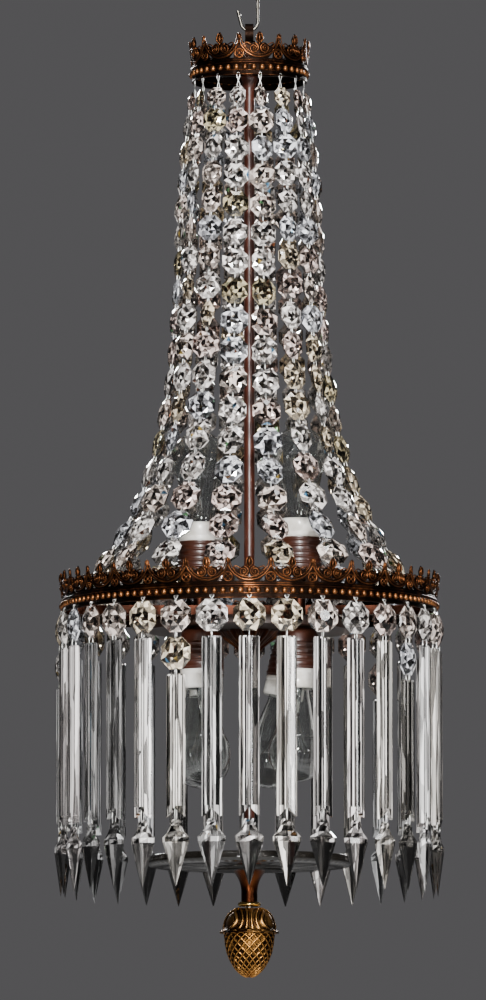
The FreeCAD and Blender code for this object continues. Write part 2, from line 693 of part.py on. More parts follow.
def porcelain():
    """The white porcelain ring screwed in the sleeve's mouth."""
    foot = HOLDER_CAP_H + SLEEVE_H
    top = foot + PORCELAIN_H
    return turned([(PORCELAIN_BORE, foot), (PORCELAIN_R, foot), (PORCELAIN_R, top - 2),
                   (PORCELAIN_R - 0.6, top - 0.6, PORCELAIN_R - 2, top), (PORCELAIN_BORE, top)])


lamp_mouth = HOLDER_CAP_H + SLEEVE_H + PORCELAIN_H
bulb_neck_z = lamp_mouth - 2
bulb_seat = bulb_neck_z - BULB_BASE_L - SEAT_GAP


def bulb():
    """A clear bulb: hollow pear-shaped glass and its screw base, pointing up."""
    centre_z = lamp_mouth + BULB_REACH
    seat_z = bulb_neck_z - BULB_BASE_L
    join = math.radians(38)
    crest = math.radians(26)

    def pear(shrink):
        """The glass outline from the neck round to the tip, taken in by shrink."""
        r = BULB_R - shrink
        neck_r = BULB_NECK_R - shrink
        foot_z = bulb_neck_z + shrink
        side_z = centre_z - r * math.sin(join)
        return [(0, foot_z), (neck_r, foot_z),
                (neck_r + 2.2, foot_z + 0.42 * (side_z - foot_z), r * math.cos(join), side_z),
                (r * math.cos(crest), centre_z + r * math.sin(crest), 0, centre_z + r)]

    glass = turned(pear(0)).cut(turned(pear(BULB_WALL)))

    def screw_base(shrink):
        """The base's outline, taken in by shrink: contact, cone and threaded shell."""
        return [(0, seat_z + shrink), (0.4 * BULB_BASE_R, seat_z + shrink), (BULB_BASE_R - shrink, seat_z + 5),
                (BULB_BASE_R - shrink, bulb_neck_z - shrink), (0, bulb_neck_z - shrink)]

    return [glass, turned(screw_base(0)).cut(turned(screw_base(BULB_WALL)))]


lean_sin = math.sin(math.radians(LEAN))
lean_cos = math.cos(math.radians(LEAN))
lean_room = (HOLDER_CAP_R + 1.5) * lean_sin     # the cap's rounded edge stays clear of the plate
lean_lift = (PLATE_T + lean_room + NIPPLE_NUT_R * lean_sin) / lean_cos - PLATE_T


def placed_lamp(part, degrees, upward):
    """A lamp's part moved from the origin to its place on the plate."""
    copy = part.copy()
    at = lamp_place(degrees, upward)
    if upward:
        at.z = plate_z + RISER_H
    else:
        leaning = degrees == LEANING_LAMP
        copy.rotate(Vector(0, 0, 0), Vector(1, 0, 0), 180)
        if leaning:
            copy.rotate(Vector(0, 0, 0), Vector(0, 1, 0), LEAN)
        at.z = plate_under_z - (lean_room if leaning else 0)
    copy.translate(at)
    return copy


def lamp_set(part):
    """One copy of a part for each lamp."""
    return [placed_lamp(part, degrees, upward) for degrees, upward in lamps]


def lamp_risers():
    """Nipples for the downward lamps and footed risers for the upward ones."""
    pieces = []
    for degrees, upward in lamps:
        lift = lean_lift if degrees == LEANING_LAMP else 0
        pieces.append(placed_lamp(riser() if upward else nipple(lift), degrees, upward))
    return pieces


# ---- dish, neck and finial -----------------------------------------------------------------
def glass_dish():
    """A shallow pressed dish: stepped foot, gently domed floor and an upright rim."""
    bore_r = ROD_R + ROD_FIT
    rim_z = dish_z + DISH_H
    floor_z = dish_z + DISH_FLOOR_T
    mid_r = (DISH_FOOT_R + DISH_R) / 2
    return turned([(bore_r, foot_z), (DISH_FOOT_R - 2, foot_z), (DISH_FOOT_R, dish_z),
                   (mid_r, dish_z + 0.4, DISH_R - 2, dish_z + 1.5), (DISH_R, dish_z + 4), (DISH_R, rim_z - 1),
                   (DISH_R - 1, rim_z), (DISH_R - DISH_WALL, rim_z), (DISH_R - DISH_WALL - 3, floor_z + 1.5),
                   (mid_r, floor_z + 0.4, DISH_FOOT_R, floor_z), (bore_r, floor_z)])


def dish_neck():
    """The brown tube under the dish, flared where it meets the foot."""
    bore_r = ROD_R + ROD_FIT
    return turned([(bore_r, foot_z), (bore_r, neck_foot_z), (NECK_R, neck_foot_z), (NECK_R, neck_foot_z + 10),
                   (NECK_R + 1.6, foot_z - 0.35 * NECK_H, NECK_TOP_R, foot_z)])


def finial_collar():
    """The brass ring above the acorn."""
    bore_r = ROD_R + ROD_FIT
    belly = RING_R - 0.2
    return turned([(bore_r, neck_foot_z), (bore_r, ring_foot_z), (RING_R - 2, ring_foot_z),
                   (belly + 0.2, (neck_foot_z + ring_foot_z) / 2, RING_R - 2, neck_foot_z)])


def finial_acorn():
    """The acorn: a leafy cup with a lip over a tapering nut, threaded on the rod."""
    lip_z = acorn_z - CUP_H
    bore_r = ROD_R + RUNNING_FIT
    bore_end = acorn_z - FINIAL_THREAD_L - 1
    nut = [(NUT_R * width, lip_z - NUT_H * depth) for width, depth in NUT_TAPER]
    return turned([(0, bore_end), (bore_r, bore_end), (bore_r, acorn_z), (CUP_TOP_R, acorn_z),
                   (0.86 * CUP_R, acorn_z - 0.32 * CUP_H, CUP_R, lip_z + 0.25 * CUP_H),
                   (CUP_LIP_R, lip_z + 1.4), (CUP_LIP_R - 0.8, lip_z)] + nut)


# ---- writing -------------------------------------------------------------------------------
def write(name, shape):
    """One STEP file for one named piece, or for one group of like pieces."""
    if isinstance(shape, list):
        shape = shape[0] if len(shape) == 1 else Part.makeCompound(shape)
    shape.exportStep(f"parts/{name}.step")


def main():
    os.makedirs("parts", exist_ok=True)
    write("hanger_hook", hanger_hook())
    write("top_loop", top_loop())
    write("top_gallery", crown_gallery())
    write("top_hoop", top_hoop())
    write("stem_tube", stem_tube())
    write("stem_rod", stem_rod())
    write("main_gallery", main_gallery())
    write("main_hoop", main_hoop())
    write("hub_boss", hub_boss())
    write("lamp_plate", lamp_plate())
    write("lamp_risers", lamp_risers())
    write("lampholder_sleeves", lamp_set(lampholder()))
    write("porcelain_rings", lamp_set(porcelain()))
    sides, pins = strands()
    for name, side in zip(("front", "right", "back", "left"), sides):
        write(f"strands_{name}", side)
    write("strand_pins", pins)
    for number, (degrees, upward) in enumerate(lamps, 1):
        write(f"bulb_{number}", [placed_lamp(piece, degrees, upward) for piece in bulb()])
    write("glass_dish", glass_dish())
    write("dish_neck", dish_neck())
    write("finial_collar", finial_collar())
    write("finial_acorn", finial_acorn())
    plain, paired = drop(False), drop(True)
    for k in range(DROPS):
        write(f"drop_{k + 1:02d}", hung_drop(paired if k in PAIRED_DROPS else plain, k))


main()
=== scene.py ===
"""Looks of the crystal chandelier: stamped bronze galleries, cut crystal, lamps, dish and acorn finial.

Shapes are drawn in millimetres and written to meshes in metres. A part is a pair (points, faces): an
array of points (n, 3) and a list of index arrays, one row per face. A part's own frame has x outwards
from the stem, y across and z up, so that turning it round Z puts it anywhere on the chandelier.
"""
import math

import bmesh
import bpy
import numpy as np
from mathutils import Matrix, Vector


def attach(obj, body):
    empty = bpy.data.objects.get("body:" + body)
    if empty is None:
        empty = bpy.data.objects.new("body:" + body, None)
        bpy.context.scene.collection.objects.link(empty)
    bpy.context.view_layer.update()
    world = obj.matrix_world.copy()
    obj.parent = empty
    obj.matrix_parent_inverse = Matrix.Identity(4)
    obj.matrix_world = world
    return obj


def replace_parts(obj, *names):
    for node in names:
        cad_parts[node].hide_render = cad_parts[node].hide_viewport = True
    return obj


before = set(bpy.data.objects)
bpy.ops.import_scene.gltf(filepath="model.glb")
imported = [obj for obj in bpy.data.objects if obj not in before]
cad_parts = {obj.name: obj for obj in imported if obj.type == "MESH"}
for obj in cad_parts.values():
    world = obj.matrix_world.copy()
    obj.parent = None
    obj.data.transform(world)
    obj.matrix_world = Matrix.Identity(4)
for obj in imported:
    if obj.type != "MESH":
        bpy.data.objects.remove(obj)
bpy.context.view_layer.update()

MM = 0.001
TURN = 2 * math.pi
FRAME_BODY = "chandelier_frame"

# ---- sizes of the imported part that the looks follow, in millimetres and degrees ------------
# A gallery: radius at its hook rail, height, z of its foot and repeats of the stamping.
CROWN_R, CROWN_H, CROWN_Z, CROWN_REPEATS = 54.5, 41.0, -106.5, 9
MAIN_R, MAIN_H, MAIN_Z, MAIN_REPEATS = 177.0, 39.0, -615.0, 28
# Its strip: thickness, step in behind the beads, lean at the top, and the heights of its parts.
BAND_T, CHANNEL_IN, STRIP_FLARE = 1.2, 0.4, 1.8
HOOK_RAIL_H, CHANNEL_TOP, RAIL_TOP, HOLE_Z = 4.8, 9.8, 14.2, 2.4
HANG_GAP = 0.95  # from a rail's face to the middle of the wire that hangs on it
HOOP_T, MAIN_FLATS, PIN_HALF = 2.8, 56, 1.1
# Strands: counts, widths of the stones down a strand, and a stone's half depth for a width of 1.
STRANDS, STRAND_CRYSTALS = 16, 18
TOP_CRYSTAL, SECOND_CRYSTAL, LAST_CRYSTAL, CRYSTAL_DEPTH = 18.5, 22.8, 29.0, 0.19
TOP_PIN_L, STRAND_FOOT_H = 14.0, 10.0
SHOULDER, SHOULDER_FADE, FLARE_POWER, BELL_STEPS = 18.0, 0.2, 4.9, 1201
# Drops: lengths from the hook down, and the widths and thicknesses of the glass.
DROPS, PAIRED_DROPS = 32, (5, 12, 24, 30)
DROP_PIN_L, DROP_OCTAGON, DROP_LINK, DROP_HALF_T = 3.2, 30.0, 4.6, 5.5
PRISM_L, PRISM_W, PRISM_T, PRISM_NOTCH = 167.0, 19.0, 9.0, 8.0
SPEAR_LINK, SPEAR_L, SPEAR_W, SPEAR_T = 2.4, 62.0, 26.5, 12.0
# Lamps: degrees round the stem and whether it points up; one has slipped and leans.
PLATE_Z, PLATE_UNDER, RISER_H = -629.0, -631.0, 45.0
DOWN_LAMP_R, UP_LAMP_R = 64.0, 51.0
LAMPS = ((45.0, False), (135.0, False), (225.0, False), (315.0, False), (337.5, True), (157.5, True))
LEANING_LAMP, LEAN, LEAN_ARM = 45.0, 13.0, 12.5
CAP_H, SLEEVE_H, PORCELAIN_H = 13.0, 27.0, 18.0
SLEEVE_R, PORCELAIN_R, BULB_R, BULB_REACH = 20.5, 20.0, 27.5, 60.0
BORE_R, NECK_R, GLASS_T = 14.4, 13.9, 0.8

# ---- sizes that only the looks have --------------------------------------------------------
BEAD_R, BEAD_OUT, BEAD_Z, BEAD_PITCH = 2.85, 0.7, 7.3, 8.2
ROSETTE_R, ROSETTE_WIND, ROSETTE_TURNS, ROSETTE_AT, ROSETTE_H = 4.7, 3.3, 1.6, 5.3, 0.41
# Mouldings: height, half width and distance out of each.
MOULDINGS = ((12.0, 1.3, 0.1), (RAIL_TOP, 0.5, 0.2), (CHANNEL_TOP + 0.2, 0.45, 0.1),
             (HOOK_RAIL_H - 0.2, 0.5, -0.1), (0.5, 0.55, -0.1))
PIN_WIRE_R, BOW_WIRE_R = 0.52, 0.42
# Strands: spread of sizes and turns; how many stones may turn far, and the limits of the turn.
SIZE_SPREAD, TWIST_SPREAD = 0.05, 16
FREE_STONES, FREE_TWIST, NEAR_RING_TWIST = 10, 40, 18
STRAND_SEED, DROP_SEED, PRISM_SHADE_SEED = 11, 5, 11
# Painted shade of whole prisms, standing in for the dark room seen through some of them: levels and their
# shares.
PRISM_SHADE_LEVELS, PRISM_SHADE_SHARES = (1.0, 0.78, 0.62), (0.5, 0.25, 0.25)
# Spear: depth, and the share of its full width there.
SPEAR_ROWS = ((0.0, 0.30), (3.0, 0.44), (6.0, 0.42), (11.5, 0.64), (16.5, 1.0), (21.0, 0.98), (61.6, 0.03))

# ---- camera and lights ---------------------------------------------------------------------
FOCAL_PX, HALF_HEIGHT_PX = 8670.0, 500
CAMERA_AT, CAMERA_TILT, CAMERA_TURN = (0.0, -8.171, -1.3518), 5.911, 0.042
FLOOR_Z, LIGHTS_AIM = -2.6, (0, 0, -0.5)
WORLD_DIM, WORLD_SEEN, WORLD_FILL = 0.2, 0.56, 0.4
# Lights: name, place and side in metres, watts.
LIGHTS = (("flash", (0.2, -4.2, 0.1), 0.4, 310), ("low_flash", (-0.7, -3.6, -1.3), 0.4, 60),
          ("right_box", (2.6, -2.4, -0.5), 0.6, 20), ("left_back", (-1.2, 3.4, 0.9), 0.5, 50),
          ("right_back", (1.4, 3.4, 0.6), 0.5, 50), ("top_box", (0.2, -0.8, 2.2), 1.0, 40),
          ("spark_left", (-1.4, -3.2, 0.9), 0.15, 14), ("spark_right", (1.5, -3.0, -1.2), 0.15, 14),
          ("spark_high", (0.9, -3.6, 1.0), 0.15, 14))


# ---- building meshes -----------------------------------------------------------------------
def grid_faces(rows, cols, wrap):
    """Quads of a grid of points; wrap joins the last column to the first."""
    r = np.arange(rows - 1)[:, None]
    c = np.arange(cols if wrap else cols - 1)[None, :]
    d = (c + 1) % cols
    return np.stack([r * cols + c, r * cols + d, (r + 1) * cols + d, (r + 1) * cols + c], -1).reshape(-1, 4)


def surface(points, wrap=False):
    """A part from an array (rows, columns, 3)."""
    rows, cols = points.shape[:2]
    return points.reshape(-1, 3), [grid_faces(rows, cols, wrap)]


def joined(parts):
    """Several parts as one."""
    points, faces, start = [], [], 0
    for part_points, part_faces in parts:
        points.append(part_points)
        faces += [block + start for block in part_faces]
        start += len(part_points)
    return np.concatenate(points), faces


def copies(part, turns, places):
    """A part repeated at each place (k, 3), turned there by its matrix (k, 3, 3)."""
    points, faces = part
    spread = np.einsum("kij,nj->kni", turns, points) + places[:, None, :]
    shift = np.arange(len(places)) * len(points)
    return spread.reshape(-1, 3), [(f[None] + shift[:, None, None]).reshape(-1, f.shape[1]) for f in faces]


def moved(part, offset):
    """A part shifted by an offset."""
    return part[0] + np.asarray(offset, float), part[1]


def z_turns(degrees):
    """Matrices that turn round Z by each of the angles."""
    a = np.radians(np.atleast_1d(degrees).astype(float))
    zero, one = np.zeros_like(a), np.ones_like(a)
    rows = [np.cos(a), -np.sin(a), zero, np.sin(a), np.cos(a), zero, zero, zero, one]
    return np.stack(rows, -1).reshape(-1, 3, 3)


def around(part, degrees):
    """A part turned round Z to each of the angles."""
    turns = z_turns(degrees)
    return copies(part, turns, np.zeros((len(turns), 3)))


def at_places(part, places):
    """An unturned copy of a part at each place."""
    places = np.asarray(places, float)
    return copies(part, np.broadcast_to(np.eye(3), (len(places), 3, 3)), places)


def unit(v):
    """Vectors scaled to length one."""
    return v / np.linalg.norm(v, axis=-1, keepdims=True)


def lathe(profile, sides=48):
    """Each point (r, z) of a profile is carried once round Z; the profile climbs on its outer side."""
    r, z = np.asarray(profile, float).T
    a = np.arange(sides) * TURN / sides
    level = np.broadcast_to(z[:, None], (len(r), sides))
    return surface(np.stack([r[:, None] * np.cos(a), r[:, None] * np.sin(a), level], -1), True)


def flowing(knots, per=6, closed=False):
    """A smooth line through knots: each span is the Catmull-Rom cubic of its four nearest knots."""
    k = np.asarray(knots, float)
    ends = (k[-1:], k[:2]) if closed else (2 * k[:1] - k[1:2], 2 * k[-1:] - k[-2:-1])
    p = np.concatenate([ends[0], k, ends[1]])
    t = (np.arange(per) / per)[None, :, None]
    a, b, c, d = (p[i:len(p) - 3 + i][:, None, :] for i in range(4))
    line = 0.5 * (2 * b + (c - a) * t + (2 * a - 5 * b + 4 * c - d) * t ** 2
                  + (3 * b - a - 3 * c + d) * t ** 3)
    line = line.reshape(-1, k.shape[1])
    return line if closed else np.concatenate([line, k[-1:]])


def tube(path, radius, side, sides=8, closed=False):
    """A circle carried along a path. Its frame is the path's direction and its cross product with side."""
    path = np.asarray(path, float)
    ahead = np.roll(path, -1, 0) - np.roll(path, 1, 0)
    if not closed:
        ahead[0] = path[1] - path[0]
        ahead[-1] = path[-1] - path[-2]
    along = unit(ahead)
    normal = unit(np.cross(along, np.asarray(side, float)))
    binormal = np.cross(along, normal)
    a = np.arange(sides) * TURN / sides
    ring = normal[:, None] * np.cos(a)[None, :, None] + binormal[:, None] * np.sin(a)[None, :, None]
    size = np.broadcast_to(np.asarray(radius, float), (len(path),))[:, None, None]
    skin = path[:, None] + size * ring
    if closed:
        skin = np.concatenate([skin, skin[:1]])
    else:
        ends = np.repeat(path[[0, -1]][:, None], sides, 1)
        skin = np.concatenate([ends[:1], skin, ends[1:]])
    return surface(skin, True)


def ball(radius, rows=5, sides=8, stretch=(1, 1, 1)):
    """A sphere by latitude and longitude, stretched along its axes."""
    lat = np.linspace(-math.pi / 2, math.pi / 2, rows + 1)
    part = lathe(np.stack([np.cos(lat), np.sin(lat)], -1) * radius, sides)
    return part[0] * np.asarray(stretch, float), part[1]


def hoop_of(ring_r, wire_r, sides=12, rows=5):
    """A torus that lies in the y-z plane, so that its hole looks outwards."""
    a = np.arange(sides) * TURN / sides
    circle = np.stack([np.zeros(sides), ring_r * np.cos(a), ring_r * np.sin(a)], -1)
    return tube(circle, wire_r, (1, 0, 0), rows, True)


def piece(name, part, finish, body=FRAME_BODY, smooth=True, casts_and_painted_light=None):
    """A mesh object of a part, its doubles merged, riding on a CAD body. Optional colour per face: a stone's
    cast with painted shade and painted reflection.
    """
    points, faces = part
    mesh = bpy.data.meshes.new(name)
    mesh.from_pydata((points * MM).tolist(), [], [row for block in faces for row in block.tolist()])
    if casts_and_painted_light is not None:
        sizes = np.concatenate([np.full(len(block), block.shape[1]) for block in faces])
        corners = np.repeat(casts_and_painted_light, sizes, 0)
        colours = mesh.attributes.new("cast_and_painted_light", "FLOAT_COLOR", "CORNER")
        colours.data.foreach_set("color", np.concatenate([corners, np.ones((len(corners), 1))], 1).ravel())
    work = bmesh.new()
    work.from_mesh(mesh)
    bmesh.ops.remove_doubles(work, verts=work.verts, dist=2e-6)
    bmesh.ops.dissolve_degenerate(work, edges=work.edges, dist=1e-6)
    work.to_mesh(mesh)
    work.free()
    mesh.shade_smooth() if smooth else mesh.shade_flat()
    mesh.materials.append(FINISHES[finish][0])
    made = bpy.data.objects.new(name, mesh)
    bpy.context.scene.collection.objects.link(made)
    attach(made, body)
    return made


# ---- finishes ------------------------------------------------------------------------------
def hex_colour(code, alpha=1.0):
    """An sRGB hex colour as linear red, green, blue and alpha."""
    values = [int(code[i:i + 2], 16) / 255 for i in (1, 3, 5)]
    return tuple(v / 12.92 if v <= 0.04045 else ((v + 0.055) / 1.055) ** 2.4 for v in values) + (alpha,)


def wire_up(tree, node, links):
    """Links sockets of a node from other nodes' outputs."""
    for key, (source, output) in links.items():
        tree.links.new(source.outputs[output], node.inputs[key])


def add(tree, kind, settings=None, links=None):
    """Adds a node, sets its properties or sockets by name, and links sockets from other nodes."""
    node = tree.nodes.new(kind)
    for key, value in (settings or {}).items():
        if isinstance(key, str) and hasattr(node, key):
            setattr(node, key, value)
        else:
            node.inputs[key].default_value = value
    wire_up(tree, node, links or {})
    return node


def blank_finish(name, shader):
    """A new material and its node tree, holding a Principled BSDF with the given settings."""
    made = bpy.data.materials.new(name)
    made.use_nodes = True
    tree = made.node_tree
    tree.nodes.clear()
    body = add(tree, "ShaderNodeBsdfPrincipled", shader)
    add(tree, "ShaderNodeOutputMaterial", None, {"Surface": (body, "BSDF")})
    return made, tree, body


def noise(tree, place, scale, detail, **more):
    """Noise on the object's own coordinates."""
    return add(tree, "ShaderNodeTexNoise", {"Scale": scale, "Detail": detail, **more},
               {"Vector": (place, "Object")})


def ranged(tree, source, low, high, start=0.0, end=1.0):
    """Another node's output, mapped from start..end to low..high."""
    return add(tree, "ShaderNodeMapRange",
               {"From Min": start, "From Max": end, "To Min": low, "To Max": high}, {"Value": source})


def mixed(tree, factor, low, high, start=0.0, end=1.0):
    """A colour between two hex colours, as another node's output climbs from start to end."""
    ramp = add(tree, "ShaderNodeValToRGB", None, {"Fac": factor})
    for stop, code, position in zip(ramp.color_ramp.elements, (low, high), (start, end)):
        stop.color = hex_colour(code)
        stop.position = position
    return ramp


def stamped_bronze(name, low, high, wear_and_sheen, gloss, ridge=(0.54, 0.72)):
    """Stamped brass under antique lacquer: brown in blotches; golden on ridges by pointiness, partly wear and
    partly painted highlight, with painted shade in the hollows.
    """
    made, tree, body = blank_finish(name, {"Metallic": 1.0})
    place = add(tree, "ShaderNodeTexCoord")
    blotch = noise(tree, place, 60.0, 6.0, Roughness=0.65)
    grain = noise(tree, place, 620.0, 3.0)
    # Pointiness lightens ridges towards the high colour: partly wear to bare brass, partly a painted
    # highlight on ridges and painted shade in the hollows.
    curvature = add(tree, "ShaderNodeNewGeometry")
    sharp = ranged(tree, (curvature, "Pointiness"), 0.0, wear_and_sheen, *ridge)
    patch = ranged(tree, (blotch, "Fac"), 0.0, 0.7, 0.5, 0.75)
    total = add(tree, "ShaderNodeMath", {"operation": "ADD", "use_clamp": True},
                {0: (patch, "Result"), 1: (sharp, "Result")})
    colour = mixed(tree, (total, "Value"), low, high)
    rough = ranged(tree, (grain, "Fac"), gloss * 0.7, gloss * 1.5)
    bump = add(tree, "ShaderNodeBump", {"Strength": 0.25, "Distance": 0.0002}, {"Height": (grain, "Fac")})
    wire_up(tree, body, {"Base Color": (colour, "Color"), "Roughness": (rough, "Result"),
                         "Normal": (bump, "Normal")})
    return made


def metal(name, low, high, roughness, scale=60.0):
    """A plain metal: two tones in soft blotches, and a fine grain that varies its gloss."""
    made, tree, body = blank_finish(name, {"Metallic": 1.0, "Roughness": roughness})
    place = add(tree, "ShaderNodeTexCoord")
    blotch = noise(tree, place, scale, 5.0)
    grain = noise(tree, place, 900.0, 2.0)
    colour = mixed(tree, (blotch, "Fac"), low, high, 0.3, 0.7)
    rough = ranged(tree, (grain, "Fac"), roughness * 0.75, roughness * 1.4)
    bump = add(tree, "ShaderNodeBump", {"Strength": 0.2, "Distance": 0.0001}, {"Height": (grain, "Fac")})
    wire_up(tree, body, {"Base Color": (colour, "Color"), "Roughness": (rough, "Result"),
                         "Normal": (bump, "Normal")})
    return made


def enamel(name, low, high, gloss):
    """Brown lacquer or stove enamel on metal: even colour, a slight orange-peel and faint dust."""
    made, tree, body = blank_finish(name, {"Roughness": 0.38, "Coat Weight": gloss, "Coat Roughness": 0.12})
    place = add(tree, "ShaderNodeTexCoord")
    colour = mixed(tree, (noise(tree, place, 55.0, 6.0), "Fac"), low, high)
    peel = noise(tree, place, 700.0, 1.0)
    bump = add(tree, "ShaderNodeBump", {"Strength": 0.15, "Distance": 0.0001}, {"Height": (peel, "Fac")})
    wire_up(tree, body, {"Base Color": (colour, "Color"), "Normal": (bump, "Normal")})
    return made


def glazed_porcelain():
    """White glazed porcelain: warm white body under a clear glaze, with faint soot in patches."""
    made, tree, body = blank_finish("glazed_porcelain", {"Roughness": 0.32, "Coat Weight": 0.6,
                                                         "Coat Roughness": 0.06, "IOR": 1.5})
    soot = noise(tree, add(tree, "ShaderNodeTexCoord"), 70.0, 4.0)
    colour = mixed(tree, (soot, "Fac"), "#d8d2c6", "#f4f1ea", 0.32, 0.6)
    wire_up(tree, body, {"Base Color": (colour, "Color")})
    return made


def lead_crystal(name, cell_mm, white_share, darkest):
    """Cut lead crystal, IOR 1.55, with light painted into its facets: a white facet scatters white as a
    painted reflection and a dark one is darkened as painted shade; Voronoi cells of the given size break both
    into lighter and darker patches, painted in place of the inner reflections."""
    made, tree, body = blank_finish(name, {"IOR": 1.55, "Coat Weight": 0.5, "Coat Roughness": 0.02})
    cast_and_painted_light = add(tree, "ShaderNodeAttribute", {"attribute_name": "cast_and_painted_light"})
    place = add(tree, "ShaderNodeTexCoord")
    cells = add(tree, "ShaderNodeMapping", {"Scale": tuple(1000 / size for size in cell_mm)},
                {"Vector": (place, "Object")})
    patch = add(tree, "ShaderNodeTexVoronoi", {"Scale": 1.0}, {"Vector": (cells, "Vector")})
    chance = add(tree, "ShaderNodeSeparateColor", None, {"Color": (patch, "Color")})
    # Voronoi patches darken the facet colour in places: painted shade standing in for inner reflections.
    shade = ranged(tree, (chance, "Green"), darkest, 1.1)
    colour = add(tree, "ShaderNodeMix", {"data_type": "RGBA", "blend_type": "MULTIPLY", 0: 1.0},
                 {6: (cast_and_painted_light, "Color"), 7: (shade, "Result")})
    # White facets trade transmission for white scatter, scaled by the patches: a painted reflection.
    white = ranged(tree, (cast_and_painted_light, "Fac"), 0.0, 1.0, 0.5, 0.8)
    part = ranged(tree, (chance, "Green"), 0.25, white_share, 0.3, 0.75)
    back = add(tree, "ShaderNodeMath", {"operation": "MULTIPLY"}, {0: (white, "Result"), 1: (part, "Result")})
    clear = add(tree, "ShaderNodeMath", {"operation": "SUBTRACT", 0: 1.0}, {1: (back, "Value")})
    rough = ranged(tree, (chance, "Red"), 0.0, 0.05)
    wire_up(tree, body, {"Base Color": (colour, 2), "Roughness": (rough, "Result"),
                         "Transmission Weight": (clear, "Value")})
    return made


def pressed_glass():
    """Smoky pressed glass, a little dusty in clouds."""
    made, tree, body = blank_finish("smoked_pressed_glass", {"IOR": 1.5, "Transmission Weight": 0.5,
                                                             "Coat Weight": 0.15, "Coat Roughness": 0.03})
    cloud = noise(tree, add(tree, "ShaderNodeTexCoord"), 30.0, 6.0)
    colour = mixed(tree, (cloud, "Fac"), "#0d0c0a", "#302c27")
    rough = ranged(tree, (cloud, "Fac"), 0.06, 0.22)
    wire_up(tree, body, {"Base Color": (colour, "Color"), "Roughness": (rough, "Result")})
    return made


def blown_glass():
    """Clear blown bulb glass with a breath of dust."""
    made, tree, body = blank_finish("blown_bulb_glass", {"Base Color": hex_colour("#f3f5f4"), "IOR": 1.45,
                                                         "Transmission Weight": 0.99})
    dust = noise(tree, add(tree, "ShaderNodeTexCoord"), 90.0, 5.0)
    wire_up(tree, body, {"Roughness": (ranged(tree, (dust, "Fac"), 0.0, 0.06), "Result")})
    return made


FINISHES = {
    # A darker copy of the relief's bronze: painted shade behind the stamping. The top loop and hoop take it
    # too.
    "shaded_bronze": (stamped_bronze("antique_bronze_shaded", "#100a07", "#33221a", 0.3, 0.45), "antique_bronze"),
    "gallery": (stamped_bronze("antique_bronze_relief", "#1e100a", "#a4663c", 0.5, 0.3), "antique_bronze"),
    "bead": (metal("rubbed_bronze_beads", "#4a2a1a", "#a66e42", 0.34, 80.0), "antique_bronze"),
    "leafy": (stamped_bronze("coppered_leaves", "#2a140b", "#7c4728", 0.5, 0.3, (0.5, 0.58)),
              "antique_bronze"),
    "gilt": (stamped_bronze("gilt_bronze_casting", "#1f1108", "#d29c58", 0.95, 0.38, (0.492, 0.55)),
             "gilt_bronze"),
    "nut": (stamped_bronze("gilt_bronze_nut", "#180d06", "#b27e40", 0.9, 0.34, (0.5, 0.56)),
            "gilt_bronze"),
    "brass": (metal("polished_brass", "#a8823f", "#e2c27a", 0.16), "polished_brass"),
    "copper": (metal("coppered_steel", "#1c0f0a", "#48291e", 0.4), "copper_brown"),
    "stem": (enamel("brown_stem_lacquer", "#33140b", "#4e2416", 0.03), "copper_brown"),
    "sleeve": (enamel("brown_sleeve_lacquer", "#2a110a", "#44200f", 0.1), "copper_brown"),
    "neck": (metal("lacquered_brown_neck", "#241009", "#5a3018", 0.28), "brown_enamel"),
    "steel": (metal("drawn_steel_wire", "#3c3933", "#8f8a80", 0.3), "steel_wire"),
    "chrome": (metal("bright_pin_wire", "#c9c8c4", "#f8f7f4", 0.34), "chrome_pin"),
    "enamel": (enamel("brown_plate_enamel", "#1c110c", "#3a241a", 0.25), "brown_enamel"),
    "porcelain": (glazed_porcelain(), "porcelain"),
    "crystal": (lead_crystal("cut_lead_crystal", (4.0, 4.0, 4.0), 0.8, 0.6), "crystal"),
    "bar": (lead_crystal("polished_prism_crystal", (3.5, 3.5, 45.0), 0.92, 0.35), "crystal"),
    "dish": (pressed_glass(), "smoked_glass"),
    "bulb": (blown_glass(), "bulb_glass"),
}


def dress(node, finish):
    """A CAD node that stays gets its finish."""
    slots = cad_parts[node].data.materials
    slots.clear()
    slots.append(FINISHES[finish][0])


# ---- galleries -----------------------------------------------------------------------------
def wall_out(z, height):
    """How far the strip's face stands from the hook rail's face at a height."""
    climb = np.clip((z - RAIL_TOP) / (height - RAIL_TOP), 0, 1)
    return np.where(z > HOOK_RAIL_H, -CHANNEL_IN, 0) + climb * (STRIP_FLARE + CHANNEL_IN)


def rolled(part, radius, height, base):
    """A part drawn on the flat strip, y along it, rolled round Z; x is its distance from the strip."""
    x, y, z = part[0].T
    r = radius + x + wall_out(z, height)
    a = y / radius
    return np.stack([r * np.cos(a), r * np.sin(a), z + base], -1), part[1]


